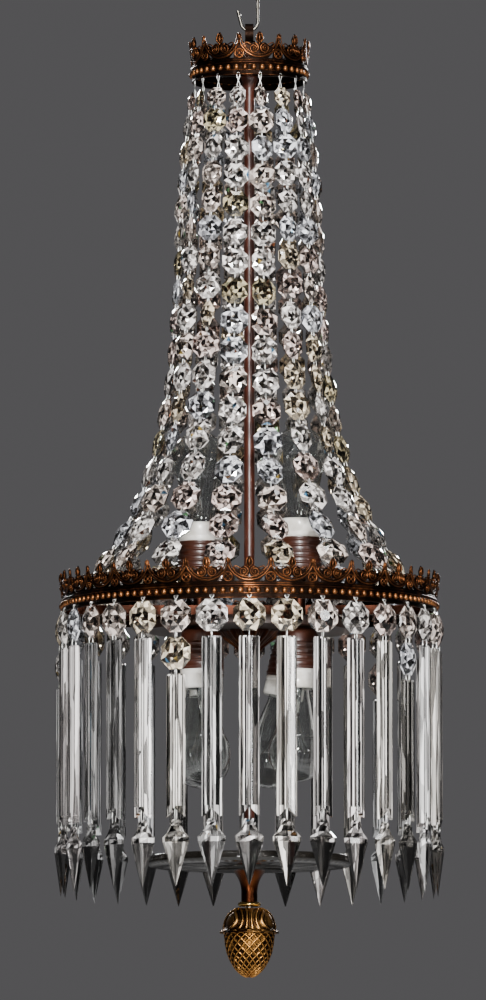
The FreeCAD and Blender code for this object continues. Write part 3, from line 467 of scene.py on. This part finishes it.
def swag_unit(pitch, height):
    """One repeat of the stamping, its bud at y = 0 and its peaks half a pitch away."""
    wall = height - RAIL_TOP
    half = pitch / 2
    face = (1, 0, 0)

    def level(share):
        return RAIL_TOP + share * wall

    def garland(inset, wire, out, count=26):
        """A hanging line: the lower half of an ellipse that spans the pitch."""
        reach, top, foot = half + 0.6 - inset, level(0.91), level(0.10)
        t = np.linspace(-1, 1, count) * math.asin(min(1.0, (half - 0.2) / reach))
        z = top - (top - foot - inset) * np.cos(t)
        return tube(np.stack([np.full(count, out), reach * np.sin(t), z], -1), wire, face, 6)

    def spiral(side):
        """A rosette: wire that winds in from the rim to the eye, and a bead on the eye."""
        t = np.linspace(0, 1, 34)
        r = ROSETTE_R - ROSETTE_WIND * t
        a = math.pi / 2 + side * ROSETTE_TURNS * TURN * t
        y, z = side * ROSETTE_AT, level(ROSETTE_H)
        path = np.stack([0.55 + 0.5 * t, y + r * np.cos(a), z + r * np.sin(a)], -1)
        return [tube(path, 0.85 - 0.25 * t, face, 5), moved(ball(1.25, 4, 8), (1.2, y, z))]

    parts = [garland(0.0, 1.05, 0.55), garland(2.3, 0.55, 0.45)]
    for side in (-1, 1):
        parts += spiral(side)
        curl = flowing([(0.4, side * 0.2 * pitch, level(0.53)), (0.6, side * 0.27 * pitch, level(0.59)),
                        (0.8, side * 0.34 * pitch, level(0.61)), (0.8, side * 0.37 * pitch, level(0.52)),
                        (0.6, side * 0.33 * pitch, level(0.47))], 4)
        parts.append(tube(curl, 0.6, face, 5))
        parts.append(moved(ball(0.9, 4, 6), (0.7, side * 0.36 * pitch, level(0.36))))
        petal = flowing([(0.4, side * 0.6, level(0.60)), (0.9, side * 2.9, level(0.70)),
                         (0.9, side * 2.6, level(0.83)), (0.5, side * 0.9, level(0.95))], 4)
        parts.append(tube(petal, 0.75, face, 5))
    parts.append(moved(ball(1.0, 8, 8, (1.5, 1.7, 0.16 * wall)), (0.7, 0, level(0.78))))
    parts.append(moved(ball(1.3, 4, 8), (0.7, 0, level(0.58))))
    parts.append(moved(ball(1.0, 6, 8, (1.1, 1.4, 0.14 * wall)), (0.6, half, level(0.82))))
    parts.append(moved(ball(1.1, 4, 8), (0.8, half, level(0.62))))
    middle = (0.5, half, level(0.23))
    parts += [moved(hoop_of(4.1, 0.8, 20), middle), moved(ball(1.35, 4, 8), middle)]
    for a in math.pi / 4 + np.arange(4) * math.pi / 2:
        lobe = (middle[0], half + 2.5 * math.cos(a), middle[2] + 2.5 * math.sin(a))
        parts.append(moved(ball(0.8, 3, 6), lobe))
    return joined(parts)


def gallery_ornament(name, radius, height, base, repeats):
    """The stamping in relief on a strip: garlands, beads and mouldings."""
    pitch = TURN * radius / repeats
    steps = np.stack([np.zeros(repeats), np.arange(repeats) * pitch, np.zeros(repeats)], -1)
    swags = rolled(at_places(swag_unit(pitch, height), steps), radius, height, base)
    beads = round(TURN * radius / BEAD_PITCH)
    spots = np.stack([np.full(beads, BEAD_OUT), np.arange(beads) * TURN * radius / beads,
                      np.full(beads, BEAD_Z)], -1)
    bead_row = rolled(at_places(ball(BEAD_R, 6, 12), spots), radius, height, base)
    mouldings = []
    for z, wire, out in MOULDINGS:
        a = np.linspace(-math.pi / 2, math.pi / 2, 7)
        band = np.stack([radius + out + wire * np.cos(a), base + z + wire * np.sin(a)], -1)
        back = [(radius - BAND_T / 2, band[-1, 1]), (radius - BAND_T / 2, band[0, 1])]
        mouldings.append(lathe(np.concatenate([band, back, band[:1]]), 168))
    piece(name + "_garlands", swags, "gallery")
    piece(name + "_beads", bead_row, "bead")
    piece(name + "_mouldings", joined(mouldings), "gallery")


# ---- crystals ------------------------------------------------------------------------------
def cut_octagon(width, depth):
    """An octagon stone. On each side eight slanted facets, each split in four at its middle, rise from
    the girdle to a step, and sixteen small triangles lead from there to a table of eight."""
    a = np.radians(22.5 + 45 * np.arange(8))
    b = np.radians(45 * np.arange(8))
    corner = width / 2 / math.cos(math.pi / 8)

    def ring(radius, angles, share):
        return np.stack([np.full(8, share * depth), radius * np.cos(angles), radius * np.sin(angles)], -1)

    side = [ring(corner, a, 0.14), ring(0.33 * width, a, 0.72), ring(0.17 * width, b, 1.0),
            ring(0.42 * width, b, 0.43), np.array([[depth, 0, 0]])]
    front_points = np.concatenate(side)
    per_side = len(front_points)
    points = np.concatenate([front_points, front_points * [-1.0, 1.0, 1.0]])
    k = np.arange(8)
    j = (k + 1) % 8
    step, table, split = 8, 16, 24
    crown = [(k, j, split + j), (j, step + j, split + j), (step + j, step + k, split + j),
             (step + k, k, split + j)]
    stars = [(step + k, step + j, table + j), (step + k, table + j, table + k),
             (table + k, table + j, np.full(8, per_side - 1))]
    front = [np.stack(corners, -1) for corners in crown + stars]
    girdle = np.stack([per_side + k, per_side + j, j, k], -1)
    return points, front + [block[:, ::-1] + per_side for block in front] + [girdle]


def prism_bar(top, length):
    """The long prism: narrow facets along its edges and its ridge, trimmed shoulders, a swallow-tail
    foot. Its section has as many points behind as in front, and the two edges are shared."""
    front = [0.08, 0.19, 0.28, 0.45, 0.62, 0.78, 0.86, 1]
    across = np.array([-y for y in front[::-1]] + front)
    swell = np.interp(np.abs(across), [0.08, 0.19, 0.28, 0.78, 0.86, 1], [1, 0.95, 0.86, 0.6, 0.5, 0])
    y = np.concatenate([across, across[-2:0:-1]]) * PRISM_W / 2
    x = np.concatenate([swell, -swell[-2:0:-1]]) * PRISM_T / 2
    wide, around_it = len(across), len(y)
    tail = top - length
    foot = tail + PRISM_NOTCH * np.clip(1.1 - np.abs(y) / (PRISM_W / 2) * 1.3, 0, 1)
    levels = np.stack([foot] + [np.full(around_it, z) for z in (tail + PRISM_NOTCH + 2, top - 1.6, top)])
    width, thick = np.array([1, 1, 1, 0.93])[:, None], np.array([1, 1, 1, 0.75])[:, None]
    points, faces = surface(np.stack([thick * x, width * y, levels], -1), True)
    k = np.arange(1, wide - 2)
    strips = np.stack([around_it - k, around_it - 1 - k, k + 1, k], -1)
    ends = np.array([(around_it - 1, 1, 0), (wide, wide - 1, wide - 2)])
    lid = (len(levels) - 1) * around_it + np.arange(around_it)
    return points, faces + [lid[None], strips, ends]


def cut_spear(top):
    """The pointed pendant: a neck, a wide shoulder with an upright girdle, and a long eight-sided point."""
    a = np.arange(8) * TURN / 8
    rows = []
    for depth, wide in SPEAR_ROWS:
        rows.append(np.stack([SPEAR_T / 2 * wide * np.cos(a), SPEAR_W / 2 * wide * np.sin(a),
                              np.full(8, top - depth)], -1))
    points = np.concatenate(rows + [np.array([[0, 0, top - SPEAR_L]])])
    k = np.arange(8)
    j = (k + 1) % 8
    faces = []
    last = 8 * (len(rows) - 1)
    for upper in range(0, last, 8):
        lower = upper + 8
        faces += [np.stack([upper + k, lower + k, upper + j], -1),
                  np.stack([upper + j, lower + k, lower + j], -1)]
    tip = np.stack([last + k, np.full(8, last + 8), last + j], -1)
    return points, faces + [tip, k[None]]


def folded_pin(gap, bite, half_out):
    """Pin wire folded into a long loop from stone to stone: a racetrack in the x-z plane, centred."""
    reach = gap / 2 + bite
    a = np.arange(10) * TURN / 10
    z = np.clip(1.45 * np.sin(a), -1, 1) * reach
    return tube(np.stack([half_out * np.cos(a), 0 * a, z], -1), PIN_WIRE_R, (0, 1, 0), 5, True)


def bow_pin(length):
    """The crown's long pin: wire crossed over itself like a bow, from the rail to the first stone."""
    a = np.arange(18) * TURN / 18
    path = np.stack([0.5 * np.cos(a), 1.5 * np.sin(2 * a), -length / 2 * (1 - np.cos(a))], -1)
    return tube(path, BOW_WIRE_R, (1, 0, 0.01), 5, True)


def cuts(*runs):
    """Shares of dark (painted shade) and of white (painted reflection) per facet, from runs of (facets, dark
    share, white share).
    """
    return np.concatenate([np.tile((dark, white), (count, 1)) for count, dark, white in runs])


# Facets in the order of the stones' faces, by the painted shade and painted reflection each gets.
OCTAGON_CUTS = cuts((32, 0.2, 0.5), (24, 0.35, 0.35), (32, 0.3, 0), (24, 0.3, 0), (8, 0.6, 0.2))
SPEAR_CUTS = cuts((16, 0.4, 0.3), (32, 0.4, 0.25), (16, 0.3, 0.35), (16, 0.25, 0.45), (16, 0.55, 0.1),
                  (8, 0.3, 0.2), (1, 0, 0))
BAR_FRONT = np.array([(0.0, 1.0), (1.0, 0.0), (0.3, 0.4), (0.2, 0.6), (0.35, 0.4), (0.1, 0.8), (0.9, 0.0),
                      (0.1, 0.9), (0.9, 0.0), (0.2, 0.6), (0.35, 0.4), (0.2, 0.6), (0.3, 0.4), (1.0, 0.0),
                      (0.0, 1.0)])
BAR_SIDES = np.tile(np.concatenate([BAR_FRONT, BAR_FRONT[::-1]]), (3, 1))
PRISM_CUTS = np.concatenate([BAR_SIDES, cuts((1, 0, 1), (13, 0.3, 0.6), (2, 0, 1)), SPEAR_CUTS])
# A stone's own cast, and its share of the stones.
CASTS = (("#fff8f2", 0.3), ("#f6f7fc", 0.17), ("#fbebdf", 0.2), ("#ffedcf", 0.16), ("#f7e0d6", 0.13),
         ("#f0e0b6", 0.04))
# Painted fire: colours of the glints painted on a few facets, and their share of the facets.
PAINTED_FIRE, PAINTED_FIRE_SHARE = ("#ff7a48", "#6fc4ff", "#9dffa8", "#ffd45c"), 0.006
# Painted shade: levels of the dark facets, and of the clear ones, which are darkened a little.
DARK_SHADES, CLEAR_SHADES = (0.03, 0.35), (0.5, 0.75)


def facet_casts_and_painted_light(shares, stones, rng, depth=1.0):
    """A colour per facet of each stone, times its own cast: dark as painted shade, white as painted
    reflection, or clear and a little darker, by its shares.
    """
    palette = np.array([hex_colour(code)[:3] for code, _ in CASTS])
    cast = palette[rng.choice(len(palette), stones, p=[share for _, share in CASTS])][:, None, :]
    cast = 1 - depth * (1 - cast)
    painted_fire = np.array([hex_colour(code)[:3] for code in PAINTED_FIRE])
    chance = rng.random((stones, len(shares)))
    shade = np.where(chance < shares[:, 0], rng.uniform(*DARK_SHADES, chance.shape),
                     rng.uniform(*CLEAR_SHADES, chance.shape))
    shade = np.where(chance > 1 - shares[:, 1], 1.0, shade)[:, :, None]
    # A few facets are painted a coloured glint in place of their colour.
    flash = painted_fire[rng.integers(0, len(PAINTED_FIRE), chance.shape)]
    return np.where(rng.random(shade.shape) < PAINTED_FIRE_SHARE, flash, cast * shade)


def in_block_order(casts_and_painted_light, stone):
    """Colours of a stone's copies, its cast with painted shade and painted reflection, put in the order of
    the copies' faces: block by block.
    """
    blocks = np.split(casts_and_painted_light, np.cumsum([len(block) for block in stone[1]])[:-1], 1)
    return np.concatenate([block.reshape(-1, 3) for block in blocks])


def bell_line():
    """Points and lengths down the bell: a quick shoulder, a straight waist and a late, sharp flare."""
    top_r = CROWN_R - BAND_T - HANG_GAP
    foot_r = (MAIN_R - BAND_T - HOOP_T) * math.cos(math.pi / MAIN_FLATS) - PIN_HALF
    top_z, foot_z = CROWN_Z + HOLE_Z, MAIN_Z + STRAND_FOOT_H
    s = np.linspace(0, 1, BELL_STEPS)
    fade = SHOULDER * (1 - np.exp(-s / SHOULDER_FADE))
    flare = foot_r - top_r - fade[-1]
    line = np.stack([top_r + fade + flare * s ** FLARE_POWER, top_z + (foot_z - top_z) * s], -1)
    lengths = np.concatenate([[0], np.cumsum(np.linalg.norm(np.diff(line, axis=0), axis=1))])
    return line, lengths


def strand(line, lengths, widths):
    """Turn and centre of each stone and pin of one strand, as lengths laid off along the bell."""
    gap = (lengths[-1] - TOP_PIN_L - widths.sum()) / STRAND_CRYSTALS
    tops = TOP_PIN_L + np.concatenate([[0], np.cumsum(widths[:-1] + gap)])

    def laid(start, end):
        ends = [np.stack([np.interp(at, lengths, line[:, 0]), 0 * at,
                          np.interp(at, lengths, line[:, 1])], -1) for at in (start, end)]
        up = unit(ends[0] - ends[1])
        across = np.broadcast_to([0.0, 1.0, 0.0], up.shape)
        return np.stack([np.cross(across, up), across, up], -1), (ends[0] + ends[1]) / 2

    return laid(tops, tops + widths), laid(tops + widths, tops + widths + gap), gap


def strands():
    """Sixteen strands of stones. A strand's stones are a little larger at one end, so that neighbouring
    strands fall out of step. Each stone is turned a little, and less near the ring, where bulbs pass."""
    line, lengths = bell_line()
    widths = np.concatenate([[TOP_CRYSTAL], np.linspace(SECOND_CRYSTAL, LAST_CRYSTAL, STRAND_CRYSTALS - 1)])
    rng = np.random.default_rng(STRAND_SEED)
    most_twist = np.where(np.arange(STRAND_CRYSTALS) < FREE_STONES, FREE_TWIST, NEAR_RING_TWIST)
    unit_stone = cut_octagon(1.0, CRYSTAL_DEPTH)
    top_pin = moved(bow_pin(TOP_PIN_L + 1.5), (line[0, 0] + 0.4, 0, line[0, 1]))
    names = ("front", "right", "back", "left")
    pins = []
    for side in range(4):
        stones, casts_and_painted_light = [], []
        for k in range(4):
            degrees = -90 + (side * 4 + k - 2 + 0.5) * 360 / STRANDS
            turn = z_turns(degrees)[0]
            own = widths * (1 + rng.uniform(-SIZE_SPREAD, SIZE_SPREAD) * np.linspace(1, -1, STRAND_CRYSTALS))
            (frames, centres), (pin_frames, pin_centres), gap = strand(line, lengths, own)
            twist = z_turns(rng.normal(0, TWIST_SPREAD, STRAND_CRYSTALS).clip(-most_twist, most_twist))
            stones.append(copies(unit_stone, turn @ frames @ twist * own[:, None, None], centres @ turn.T))
            casts_and_painted_light.append(in_block_order(facet_casts_and_painted_light(OCTAGON_CUTS, STRAND_CRYSTALS, rng), unit_stone))
            pins.append(copies(folded_pin(gap, 2.0, 1.3), turn @ pin_frames, pin_centres @ turn.T))
            pins.append(around(top_pin, degrees))
        made = piece("stones_" + names[side], joined(stones), "crystal", smooth=False,
                     casts_and_painted_light=np.concatenate(casts_and_painted_light))
        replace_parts(made, "strands_" + names[side])
    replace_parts(piece("strand_wires", joined(pins), "chrome"), "strand_pins")


def drop_hook():
    """The two bent arms of the hook at the top of a drop."""
    arms = []
    for side in (-1, 1):
        arm = flowing([(-2.6, side * 0.5, 0.3), (-0.4, side * 1.9, 0.7), (0.3, side * 1.6, -0.6),
                       (0.4, side * 0.4, -2.4), (1.5, -side * 0.5, -4.4), (0.4, -side * 0.3, -6.4)], 4)
        arms.append(tube(arm, PIN_WIRE_R, (0, 1, 0), 5))
    return arms


def drops():
    """Thirty-two prism drops, each riding on its own hinge. About half are painted a shade darker: painted
    shade for the dark room seen through them.
    """
    hang_r, hang_z = MAIN_R + HANG_GAP, MAIN_Z + HOLE_Z
    rng = np.random.default_rng(DROP_SEED)
    prism_shade = np.random.default_rng(PRISM_SHADE_SEED).choice(PRISM_SHADE_LEVELS, DROPS, p=PRISM_SHADE_SHARES)
    stone = cut_octagon(DROP_OCTAGON, DROP_HALF_T)
    for k in range(DROPS):
        stones, casts_and_painted_light, wires = [], [], drop_hook()
        place = -DROP_PIN_L
        length = PRISM_L
        for j in range(2 if k in PAIRED_DROPS else 1):
            twist = z_turns(rng.uniform(-5, 5))
            stones.append(copies(stone, twist, np.array([[0, 0, place - DROP_OCTAGON / 2]])))
            casts_and_painted_light.append(facet_casts_and_painted_light(OCTAGON_CUTS, 1, rng)[0])
            place -= DROP_OCTAGON
            wires.append(moved(folded_pin(DROP_LINK, 2.2, 2.0), (0, 0, place - DROP_LINK / 2)))
            place -= DROP_LINK
            if j == 1:
                length -= DROP_OCTAGON + DROP_LINK
        bar = prism_bar(place, length)
        place -= length
        link = folded_pin(SPEAR_LINK + PRISM_NOTCH, 2.0, 2.2)
        wires.append(moved(link, (0, 0, place + (PRISM_NOTCH - SPEAR_LINK) / 2)))
        prism = joined([bar, cut_spear(place - SPEAR_LINK)])
        turn = z_turns(-90 + k * 360 / DROPS)
        offset = (turn[0] @ np.array([hang_r, 0, 0]) + np.array([0, 0, hang_z]))[None]
        number = "%02d" % (k + 1)
        body = "drop_" + number + "_body"
        made = piece("drop_stones_" + number, copies(joined(stones), turn, offset), "crystal", body, False,
                     np.concatenate(casts_and_painted_light))
        # Prism colour: its facets' cast and painted light, darkened by its painted shade level.
        piece("drop_prism_" + number, copies(prism, turn, offset), "bar", body, False,
              prism_shade[k] * facet_casts_and_painted_light(PRISM_CUTS, 1, rng, 0.3)[0])
        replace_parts(made, "drop_" + number)
        piece("drop_wires_" + number, copies(joined(wires), turn, offset), "chrome", body)


# ---- lamps ---------------------------------------------------------------------------------
def lamp_frames():
    """Turn and place of each lamp: its own frame points along its axis, from the cap to the bulb."""
    made = []
    for degrees, upward in LAMPS:
        radius = UP_LAMP_R if upward else DOWN_LAMP_R
        at = z_turns(degrees)[0] @ np.array([radius, 0, 0])
        if upward:
            turn, at[2] = np.eye(3), PLATE_Z + RISER_H
        else:
            turn, at[2] = np.diag([1.0, -1.0, -1.0]), PLATE_UNDER
            if degrees == LEANING_LAMP:
                c, s = math.cos(math.radians(LEAN)), math.sin(math.radians(LEAN))
                turn = np.array([[c, 0, s], [0, 1, 0], [-s, 0, c]]) @ turn
                at[2] -= LEAN_ARM * s
        made.append((turn[None], at[None]))
    return made


def holder_shape():
    """Cap and ribbed sleeve: five soft ribs as raised cosines on the sleeve."""
    top, inner_r, ribs, rib_t = CAP_H + SLEEVE_H, 19.0, 5, 0.9
    z = np.linspace(CAP_H, top, 61)
    rib = rib_t * np.clip(np.cos((z - CAP_H) / SLEEVE_H * ribs * TURN - math.pi), 0, 1) ** 0.8
    wall = np.stack([SLEEVE_R + rib, z], -1)
    cap = flowing([(10.0, 0.0), (15.5, 1.6), (18.6, 5.0), (20.0, 10.0), (SLEEVE_R, CAP_H)], 5)
    mouth = [(inner_r, top), (inner_r, top - 8), (0, top - 8)]
    return lathe(np.concatenate([[(0, 0)], cap, wall, mouth]), 56)


def porcelain_shape():
    """The ring: a plain wall with one soft groove and a rounded lip."""
    foot, top = CAP_H + SLEEVE_H, CAP_H + SLEEVE_H + PORCELAIN_H
    outer = [(PORCELAIN_R, foot), (PORCELAIN_R, foot + 4), (PORCELAIN_R - 0.7, foot + 4.8),
             (PORCELAIN_R, foot + 5.6), (PORCELAIN_R, top - 3), (PORCELAIN_R - 0.5, top - 1),
             (PORCELAIN_R - 2, top)]
    inner = [(BORE_R + 0.8, top), (BORE_R, top - 1), (BORE_R, foot)]
    return lathe([(BORE_R, foot)] + outer + inner, 48)


def bulb_shapes():
    """Glass envelope with a thin wall, its screw base, and the inner stem with its filament."""
    mouth = CAP_H + SLEEVE_H + PORCELAIN_H
    centre, neck = mouth + BULB_REACH, mouth - 2
    a = np.linspace(math.radians(-38), math.pi / 2, 26)
    globe = np.stack([BULB_R * np.cos(a), centre + BULB_R * np.sin(a)], -1)
    throat = flowing([(NECK_R, neck), (14.2, neck + 8), (16.4, neck + 19), tuple(globe[0])], 6)[:-1]
    outer = np.concatenate([[(0, neck)], throat, globe])
    inner = np.concatenate([[(0, neck + GLASS_T)], throat - [GLASS_T, 0], globe * [0.97, 1] - [0, 0.02]])
    inner[-1] = (0, centre + BULB_R - GLASS_T)
    inner[1, 1] = neck + GLASS_T
    hollow, inwards = lathe(inner, 48)
    shell = joined([lathe(outer, 48), (hollow, [inwards[0][:, ::-1]])])
    z = np.linspace(neck - 20, neck, 61)
    pitch = 3.6
    thread = np.stack([12.7 + 0.5 * np.cos((z - neck) / pitch * TURN), z], -1)
    contact = [(0, neck - 25), (5, neck - 25), (5.5, neck - 24)]
    base = lathe(np.concatenate([contact, thread, [(0, neck)]]), 40)
    stem = lathe([(0, neck), (4.5, neck), (3.0, neck + 14), (2.0, neck + 30), (0, neck + 31)], 16)
    t = np.linspace(0, 1, 90)
    coil = np.stack([11 * np.cos(t * 5.2), 11 * np.sin(t * 5.2), centre - 2 + 1.5 * np.cos(t * TURN * 6)], -1)
    wires = [tube(coil, 0.22, (0, 0, 1), 4)]
    for end in (0, 30, 60, 89):
        elbow = tuple(coil[end] * [0.5, 0.5, 1] + [0, 0, -8])
        wires.append(tube([(0.8, 0, neck + 28), elbow, tuple(coil[end])], 0.3, (0.3, 1, 0.2), 4))
    return shell, base, stem, joined(wires)


def lamps():
    """Six lamps: holders and rings on the frame, bulbs on their own bodies."""
    places = lamp_frames()
    holders = joined([copies(holder_shape(), turn, at) for turn, at in places])
    rings = joined([copies(porcelain_shape(), turn, at) for turn, at in places])
    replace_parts(piece("ribbed_sleeves", holders, "sleeve"), "lampholder_sleeves")
    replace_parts(piece("porcelain_collars", rings, "porcelain"), "porcelain_rings")
    shell, base, stem, wires = bulb_shapes()
    for number, (turn, at) in enumerate(places, 1):
        body = "bulb_%d_body" % number
        glass = piece("bulb_glass_%d" % number, copies(shell, turn, at), "bulb", body)
        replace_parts(glass, "bulb_%d" % number)
        piece("bulb_base_%d" % number, copies(base, turn, at), "brass", body)
        piece("bulb_stem_%d" % number, copies(stem, turn, at), "bulb", body)
        piece("bulb_filament_%d" % number, copies(wires, turn, at), "steel", body)


# ---- dish, boss and finial -----------------------------------------------------------------
def relief(profile, bump, sides):
    """A turned surface with its points pushed out along the profile's normal by bump(share, angle)."""
    line = np.asarray(profile, float)
    way = unit(np.gradient(line, axis=0))
    normal = np.stack([way[:, 1], -way[:, 0]], -1)
    a = np.arange(sides) * TURN / sides
    share = np.linspace(0, 1, len(line))
    push = bump(share[:, None], a[None, :])
    r = line[:, :1] + normal[:, :1] * push
    z = line[:, 1:] + normal[:, 1:] * push
    r = np.where(line[:, :1] < 1e-6, 0, r)
    return surface(np.stack([r * np.cos(a), r * np.sin(a), z], -1), True)


def glass_dish():
    """Pressed dish: overlapping petals under the floor, fine flutes on the wall, a stepped foot."""
    under, foot, hole_r = -855.0, -858.0, 5.5
    outside = flowing([(hole_r, foot), (30, foot), (32, foot + 0.5), (34, under), (50, under),
                       (66, under + 0.1), (82, under + 0.3), (93, under + 1.2), (96.2, under + 4),
                       (96.5, under + 8)], 10)
    inside = [(96.2, -844.6), (95.4, -844.0), (94.2, -844.0), (93.2, -844.4), (92.6, -846), (90, -849.0),
              (60, -850.3), (hole_r, -850.5), (hole_r, foot)]
    line = np.concatenate([outside, inside])

    def petals(share, a):
        arms, flutes, flute_h = 16, 72, 0.35
        swirl = np.abs(np.sin(arms / 2 * a + 9 * share)) * np.abs(np.sin(arms / 2 * a - 9 * share))
        flute = flute_h * np.cos(flutes * a)
        floor = np.clip((share - 0.30) / 0.05, 0, 1) * np.clip((0.62 - share) / 0.05, 0, 1)
        wall = np.clip((share - 0.66) / 0.04, 0, 1) * np.clip((0.80 - share) / 0.04, 0, 1)
        return -1.1 * floor * swirl + wall * (flute - flute_h)

    made = piece("pressed_dish", relief(line, petals, 288), "dish")
    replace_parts(made, "glass_dish")


def leafy_boss():
    """Boss under the plate: eight veined leaves swell between sunk ribs."""
    line = flowing([(0.0, -650.0), (6.0, -650.0), (10.5, -649.6), (13.5, -646.5), (20.0, -641.5),
                    (27.5, -636.5), (32.0, -632.6), (32.6, -631.2), (0, -631.0)], 9)

    def leaves(share, a):
        blade = np.abs(np.cos(4 * a)) ** 0.6
        vein = 0.5 * np.cos(32 * a) * (1 - np.abs(np.cos(4 * a)) ** 8)
        zone = np.clip((share - 0.22) / 0.1, 0, 1) * np.clip((0.86 - share) / 0.06, 0, 1)
        return zone * (2.6 * (blade - 1) + vein)

    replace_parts(piece("leafy_boss", relief(line, leaves, 256), "leafy"), "hub_boss")


def finial():
    """Acorn: a cup of curled leaves with a scalloped lip, over a nut crossed by slanting bands."""
    top, lip = -891.7, -915.7
    cup = flowing([(0, lip + 0.2), (24.0, lip + 0.2), (27.0, lip - 0.4), (28.0, lip + 1.2), (26.4, lip + 3.2),
                   (25.2, lip + 8), (23.8, lip + 13), (20.5, lip + 18.5), (15.5, lip + 22), (11.3, top - 0.4),
                   (3.4, top), (0.0, top)], 8)

    def curls(share, a):
        scallop = 0.9 * np.cos(12 * a) * np.clip(1 - np.abs(share - 0.27) / 0.10, 0, 1)
        body = np.clip((share - 0.34) / 0.08, 0, 1) * np.clip((0.86 - share) / 0.08, 0, 1)
        wave = np.cos(18 * a + 6 * np.sin(8 * share + 0.6) * np.cos(3 * a))
        vein = np.clip((wave - 0.1) / 0.9, 0, 1) ** 0.7
        fold = 0.5 * np.cos(6 * a + 4 * share)
        return -1.1 + scallop + body * (1.7 * vein + fold - 0.9)

    nut_line = flowing([(0.0, -958.2), (5.2, -956.8), (10.2, -953.2), (14.4, -948.4), (18.6, -941.0),
                        (21.3, -933.4), (22.8, -925.0), (23.4, -917.5), (22.4, -915.9), (0.0, -915.8)], 14)

    def lattice(share, a):
        zone = np.clip((share - 0.02) / 0.05, 0, 1) * np.clip((0.86 - share) / 0.03, 0, 1)
        count, slant = 18, 58
        bands = np.maximum(np.cos(count * a + slant * share), np.cos(count * a - slant * share))
        return zone * (1.2 * np.clip((bands - 0.45) / 0.55, 0, 1) ** 0.7 - 0.6)

    made = piece("acorn_cup", relief(cup, curls, 288), "gilt", "finial")
    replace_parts(made, "finial_acorn")
    piece("acorn_nut", relief(nut_line, lattice, 324), "nut", "finial")


# ---- stage ---------------------------------------------------------------------------------
def stage():
    """Pale floor, soft lights and the camera at the photograph's viewing angle. The world is dimmer
    for reflections than for the camera, so that the crystals see a darker room than the backdrop."""
    bpy.ops.mesh.primitive_plane_add(size=30, location=(0, 0, FLOOR_Z))
    floor = bpy.context.object
    floor.name = "studio_floor"
    pale = blank_finish("studio_floor", {"Base Color": hex_colour("#d9d9d8"), "Roughness": 0.8})[0]
    floor.data.materials.append(pale)
    world = bpy.data.worlds.new("studio")
    bpy.context.scene.world = world
    world.use_nodes = True
    tree = world.node_tree
    back = tree.nodes["Background"]
    back.inputs["Color"].default_value = hex_colour("#717072")
    seen = add(tree, "ShaderNodeLightPath")
    glow = ranged(tree, (seen, "Is Camera Ray"), WORLD_DIM, WORLD_SEEN)
    fill = add(tree, "ShaderNodeMath", {"operation": "MULTIPLY_ADD", 1: WORLD_FILL},
               {0: (seen, "Is Diffuse Ray"), 2: (glow, "Result")})
    wire_up(tree, back, {"Strength": (fill, "Value")})
    for name, place, size, watts in LIGHTS:
        light = bpy.data.lights.new(name, "AREA")
        light.shape = "SQUARE"
        light.size = size
        light.energy = watts
        lamp = bpy.data.objects.new(name, light)
        lamp.location = place
        lamp.rotation_euler = (Vector(LIGHTS_AIM) - Vector(place)).to_track_quat("-Z", "Y").to_euler()
        bpy.context.scene.collection.objects.link(lamp)
    lens = bpy.data.cameras.new("photo_camera")
    lens.sensor_fit = "VERTICAL"
    lens.angle = 2 * math.atan(HALF_HEIGHT_PX / FOCAL_PX)
    lens.clip_end = 60
    camera = bpy.data.objects.new("photo_camera", lens)
    camera.location = CAMERA_AT
    camera.rotation_euler = (math.radians(90 + CAMERA_TILT), 0, math.radians(CAMERA_TURN))
    bpy.context.scene.collection.objects.link(camera)
    bpy.context.scene.camera = camera


# The galleries' strips, the top loop and the top hoop take the darker bronze, which is painted shade.
for node, finish in (("hanger_hook", "steel"), ("top_loop", "shaded_bronze"), ("top_gallery", "shaded_bronze"),
                     ("main_gallery", "shaded_bronze"), ("top_hoop", "shaded_bronze"), ("main_hoop", "copper"),
                     ("stem_tube", "stem"), ("stem_rod", "steel"), ("lamp_plate", "enamel"),
                     ("lamp_risers", "copper"), ("dish_neck", "neck"), ("finial_collar", "brass")):
    dress(node, finish)
gallery_ornament("crown", CROWN_R, CROWN_H, CROWN_Z, CROWN_REPEATS)
gallery_ornament("ring", MAIN_R, MAIN_H, MAIN_Z, MAIN_REPEATS)
strands()
drops()
lamps()
glass_dish()
leafy_boss()
finial()
stage()
